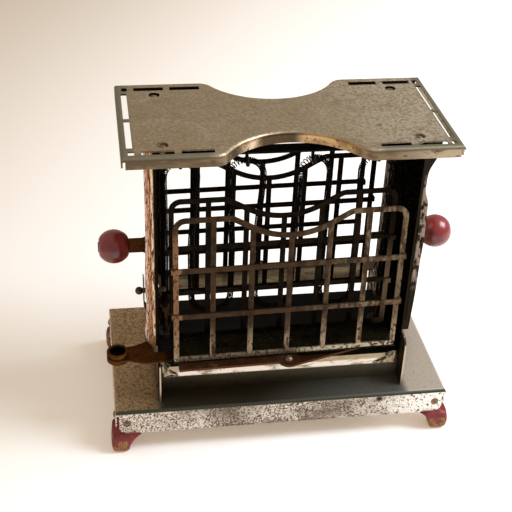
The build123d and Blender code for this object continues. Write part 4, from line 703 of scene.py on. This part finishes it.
# ---------------------------------------------------------------- heating coil
def coil_path():
    """Upright runs RUN_GAP apart, one for each of RUN_SHIFTS, bowed by a sine and eased sideways from the
    head shift to the foot shift by a smooth step of height, and joined by half ellipses whose width is the
    gap between the runs they join."""
    pieces, last = [], len(RUN_SHIFTS) - 1
    for run, (head_shift, foot_shift) in enumerate(RUN_SHIFTS):
        low = COIL_END if run in (0, last) else COIL_LOW
        z = np.arange(low, COIL_HIGH, COIL_STEP)
        ease = np.clip((COIL_HIGH - z) / RUN_EASE, 0, 1)
        ease = ease * ease * (3 - 2 * ease)
        bow = np.sin(np.pi * (z - COIL_LOW) / (COIL_HIGH - COIL_LOW)).clip(0) * 0.5 * (-1) ** run
        x = RUN_GAP * (run - last / 2) + bow + head_shift + (foot_shift - head_shift) * ease
        leg = np.stack([x, 0.5 * np.sin(z / 23 + run), z], axis=-1)
        pieces.append(leg if run % 2 == 0 else leg[::-1])
    joined = [pieces[0]]
    arc = RUN_GAP / 2
    turn = np.arange(0, np.pi, COIL_STEP / arc)
    for run, leg in enumerate(pieces[1:]):
        start, end = joined[-1][-1, 0], leg[0, 0]
        rise = np.sin(turn) * (1 if run % 2 == 0 else -1)
        joined.append(np.stack([start + (end - start) * (1 - np.cos(turn)) / 2, 0 * turn,
                                (COIL_HIGH if run % 2 == 0 else COIL_LOW) + arc * rise], axis=-1))
        joined.append(leg)
    path = np.concatenate(joined)
    near = 6    # points to each side that are averaged to smooth the path
    share = np.ones(2 * near + 1) / (2 * near + 1)
    smoothed = [np.convolve(np.pad(path[:, k], near, mode="edge"), share, "valid") for k in range(3)]
    return np.stack(smoothed, axis=-1)


def frames_along(path):
    """Two unit directions square to a path in the XZ plane: its tangent crossed with Y, and that crossed with
    the tangent."""
    ahead = np.gradient(path, axis=0)
    ahead /= np.linalg.norm(ahead, axis=1)[:, None]
    side = np.cross(ahead, [0.0, 1.0, 0.0])
    side /= np.linalg.norm(side, axis=1)[:, None]
    return side, np.cross(side, ahead)


def coil():
    """Helix round the path: its turn grows by one per pitch, and the pitch stretches where a hook pulls the
    arc."""
    path = coil_path()
    step = np.concatenate([[0], np.cumsum(np.linalg.norm(np.diff(path, axis=0), axis=1))])
    hooks = RUN_GAP * np.array([-3.0, -1.0, 1.0, 3.0])
    beside, spread = 5.0, 3.0    # the pull's middle to the left of each hook, and its width, mm
    reach = np.abs(path[:, 0][:, None] - hooks + beside).min(axis=1)
    pitch = COIL_PITCH + COIL_STRETCH * np.exp(-(reach / spread) ** 2) * (path[:, 2] > COIL_HIGH + 3)
    phase = np.concatenate([[0], np.cumsum(np.diff(step) / pitch[1:])])
    at = np.linspace(0, phase[-1], int(phase[-1] * 11))
    along = np.interp(at, phase, step)
    centre = np.stack([np.interp(along, step, path[:, k]) for k in range(3)], axis=-1)
    side, across = frames_along(path)
    side = np.stack([np.interp(along, step, side[:, k]) for k in range(3)], axis=-1)
    across = np.stack([np.interp(along, step, across[:, k]) for k in range(3)], axis=-1)
    turn = 2 * np.pi * at[:, None]
    out = side * np.cos(turn) + across * np.sin(turn)
    helix = centre + HELIX_RADIUS * out
    way = np.gradient(helix, axis=0)
    way /= np.linalg.norm(way, axis=1)[:, None]
    third = np.cross(way, out)
    third /= np.linalg.norm(third, axis=1)[:, None]
    round_wire = np.linspace(0, 2 * np.pi, 5, endpoint=False)
    points = helix[:, None, :] + WIRE_RADIUS * (np.cos(round_wire)[None, :, None] * out[:, None, :]
                                                + np.sin(round_wire)[None, :, None] * third[:, None, :])
    return skin("wound_heating_coil", points, "housing", ["heating_coil"], resistance_wire,
                closed=(False, True))


coil()


# ---------------------------------------------------------------- stage
def camera():
    """Camera at EYE, turned by YAW about Z from looking along Y, then down by PITCH, then by ROLL about the
    line it looks along."""
    cos_y, sin_y, cos_p, sin_p = math.cos(YAW), math.sin(YAW), math.cos(PITCH), math.sin(PITCH)
    ahead = np.array([sin_y * cos_p, cos_y * cos_p, -sin_p])
    right = np.array([cos_y, -sin_y, 0.0])
    up = np.cross(right, ahead)
    turned_right = math.cos(ROLL) * right + math.sin(ROLL) * up
    turned_up = -math.sin(ROLL) * right + math.cos(ROLL) * up
    data = bpy.data.cameras.new("view_camera")
    focal_share, sensor = 1058.68 / 512, 36    # focal length over the sensor's width, and that width in mm
    data.lens = focal_share * sensor
    data.sensor_width = sensor
    eye = bpy.data.objects.new("view_camera", data)
    place = Matrix.Identity(4)
    for column, axis in enumerate((turned_right, turned_up, -ahead)):
        for row in range(3):
            place[row][column] = axis[row]
    for row, value in enumerate(EYE):
        place[row][3] = value * MM
    eye.matrix_world = place
    bpy.context.scene.collection.objects.link(eye)
    bpy.context.scene.camera = eye


def lamp(name, place, aim, size, power, tint):
    """Square soft box at a place in metres, its face turned to the aim."""
    data = bpy.data.lights.new(name, "AREA")
    data.shape, data.size, data.energy, data.color = "SQUARE", size, power, linear(tint)[:3]
    box = bpy.data.objects.new(name, data)
    towards = np.array(aim, float) - np.array(place, float)
    towards /= np.linalg.norm(towards)
    right = np.cross(towards, [0, 1, 0])
    right /= np.linalg.norm(right)
    up = np.cross(right, towards)
    turn = Matrix.Identity(4)
    for column, axis in enumerate((right, up, -towards)):
        for row in range(3):
            turn[row][column] = axis[row]
    for row in range(3):
        turn[row][3] = place[row]
    box.matrix_world = turn
    bpy.context.scene.collection.objects.link(box)


def floor():
    """White paper floor. The camera and mirrors see it lifted a little by a warm glow, so lit paper is plain
    white and the shadow stays soft and warm."""
    paper = bpy.data.materials.new("white_paper")
    paper.use_nodes = True
    tree = paper.node_tree
    ray = add(tree, "ShaderNodeLightPath")
    seen = ray.outputs["Is Camera Ray"]
    for kind in ("Is Glossy Ray", "Is Transmission Ray"):
        seen = add(tree, "ShaderNodeMath", {0: seen, 1: ray.outputs[kind]}, operation="MAXIMUM").outputs[0]
    place = add(tree, "ShaderNodeTexCoord").outputs["Object"]
    # painted shade: the paper as the camera sees it is painted darker towards the far left, and its glow
    # fades with it
    far = add(tree, "ShaderNodeMapping", {"Vector": place, "Rotation": (0, 0, SHADE_TURN)})
    distance = axis_mask(tree, far.outputs[0], "X", SHADE_START, SHADE_END)
    shade = add(tree, "ShaderNodeMix", {0: distance, 6: linear("#FFFFFF"), 7: linear("#E2D5C3")},
                data_type="RGBA")
    tint = add(tree, "ShaderNodeMix", {0: seen, 6: linear("#DCD8D2"), 7: shade.outputs[2]}, data_type="RGBA")
    near = add(tree, "ShaderNodeMath", {0: 1.0, 1: distance}, operation="SUBTRACT").outputs[0]
    glow = add(tree, "ShaderNodeMath", {0: overlap(tree, seen, near), 1: GLOW}, operation="MULTIPLY")
    shader = tree.nodes["Principled BSDF"]
    tree.links.new(tint.outputs[2], shader.inputs["Base Color"])
    tree.links.new(glow.outputs[0], shader.inputs["Emission Strength"])
    shader.inputs["Emission Color"].default_value = linear("#FFE6C8")
    shader.inputs["Roughness"].default_value = 1.0
    shader.inputs["Specular IOR Level"].default_value = 0.0
    mesh = bpy.data.meshes.new("paper_floor")
    corners = [(x * PAPER_HALF, y * PAPER_HALF, 0) for x, y in ((-1, -1), (1, -1), (1, 1), (-1, 1))]
    mesh.from_pydata(corners, [], [(0, 1, 2, 3)])
    mesh.materials.append(paper)
    sheet = bpy.data.objects.new("paper_floor", mesh)
    bpy.context.scene.collection.objects.link(sheet)


camera()
floor()
lamp("key_box", (0.85, -0.16, 1.00), (0.0, 0.0, 0.08), 0.60, 16.5, "#E9F2FF")
world = bpy.data.worlds.new("studio")
bpy.context.scene.world = world
world.use_nodes = True
world.node_tree.nodes["Background"].inputs[0].default_value = linear("#FFF1DF")
world.node_tree.nodes["Background"].inputs[1].default_value = 0.56
bpy.context.scene.view_settings.view_transform = "Standard"
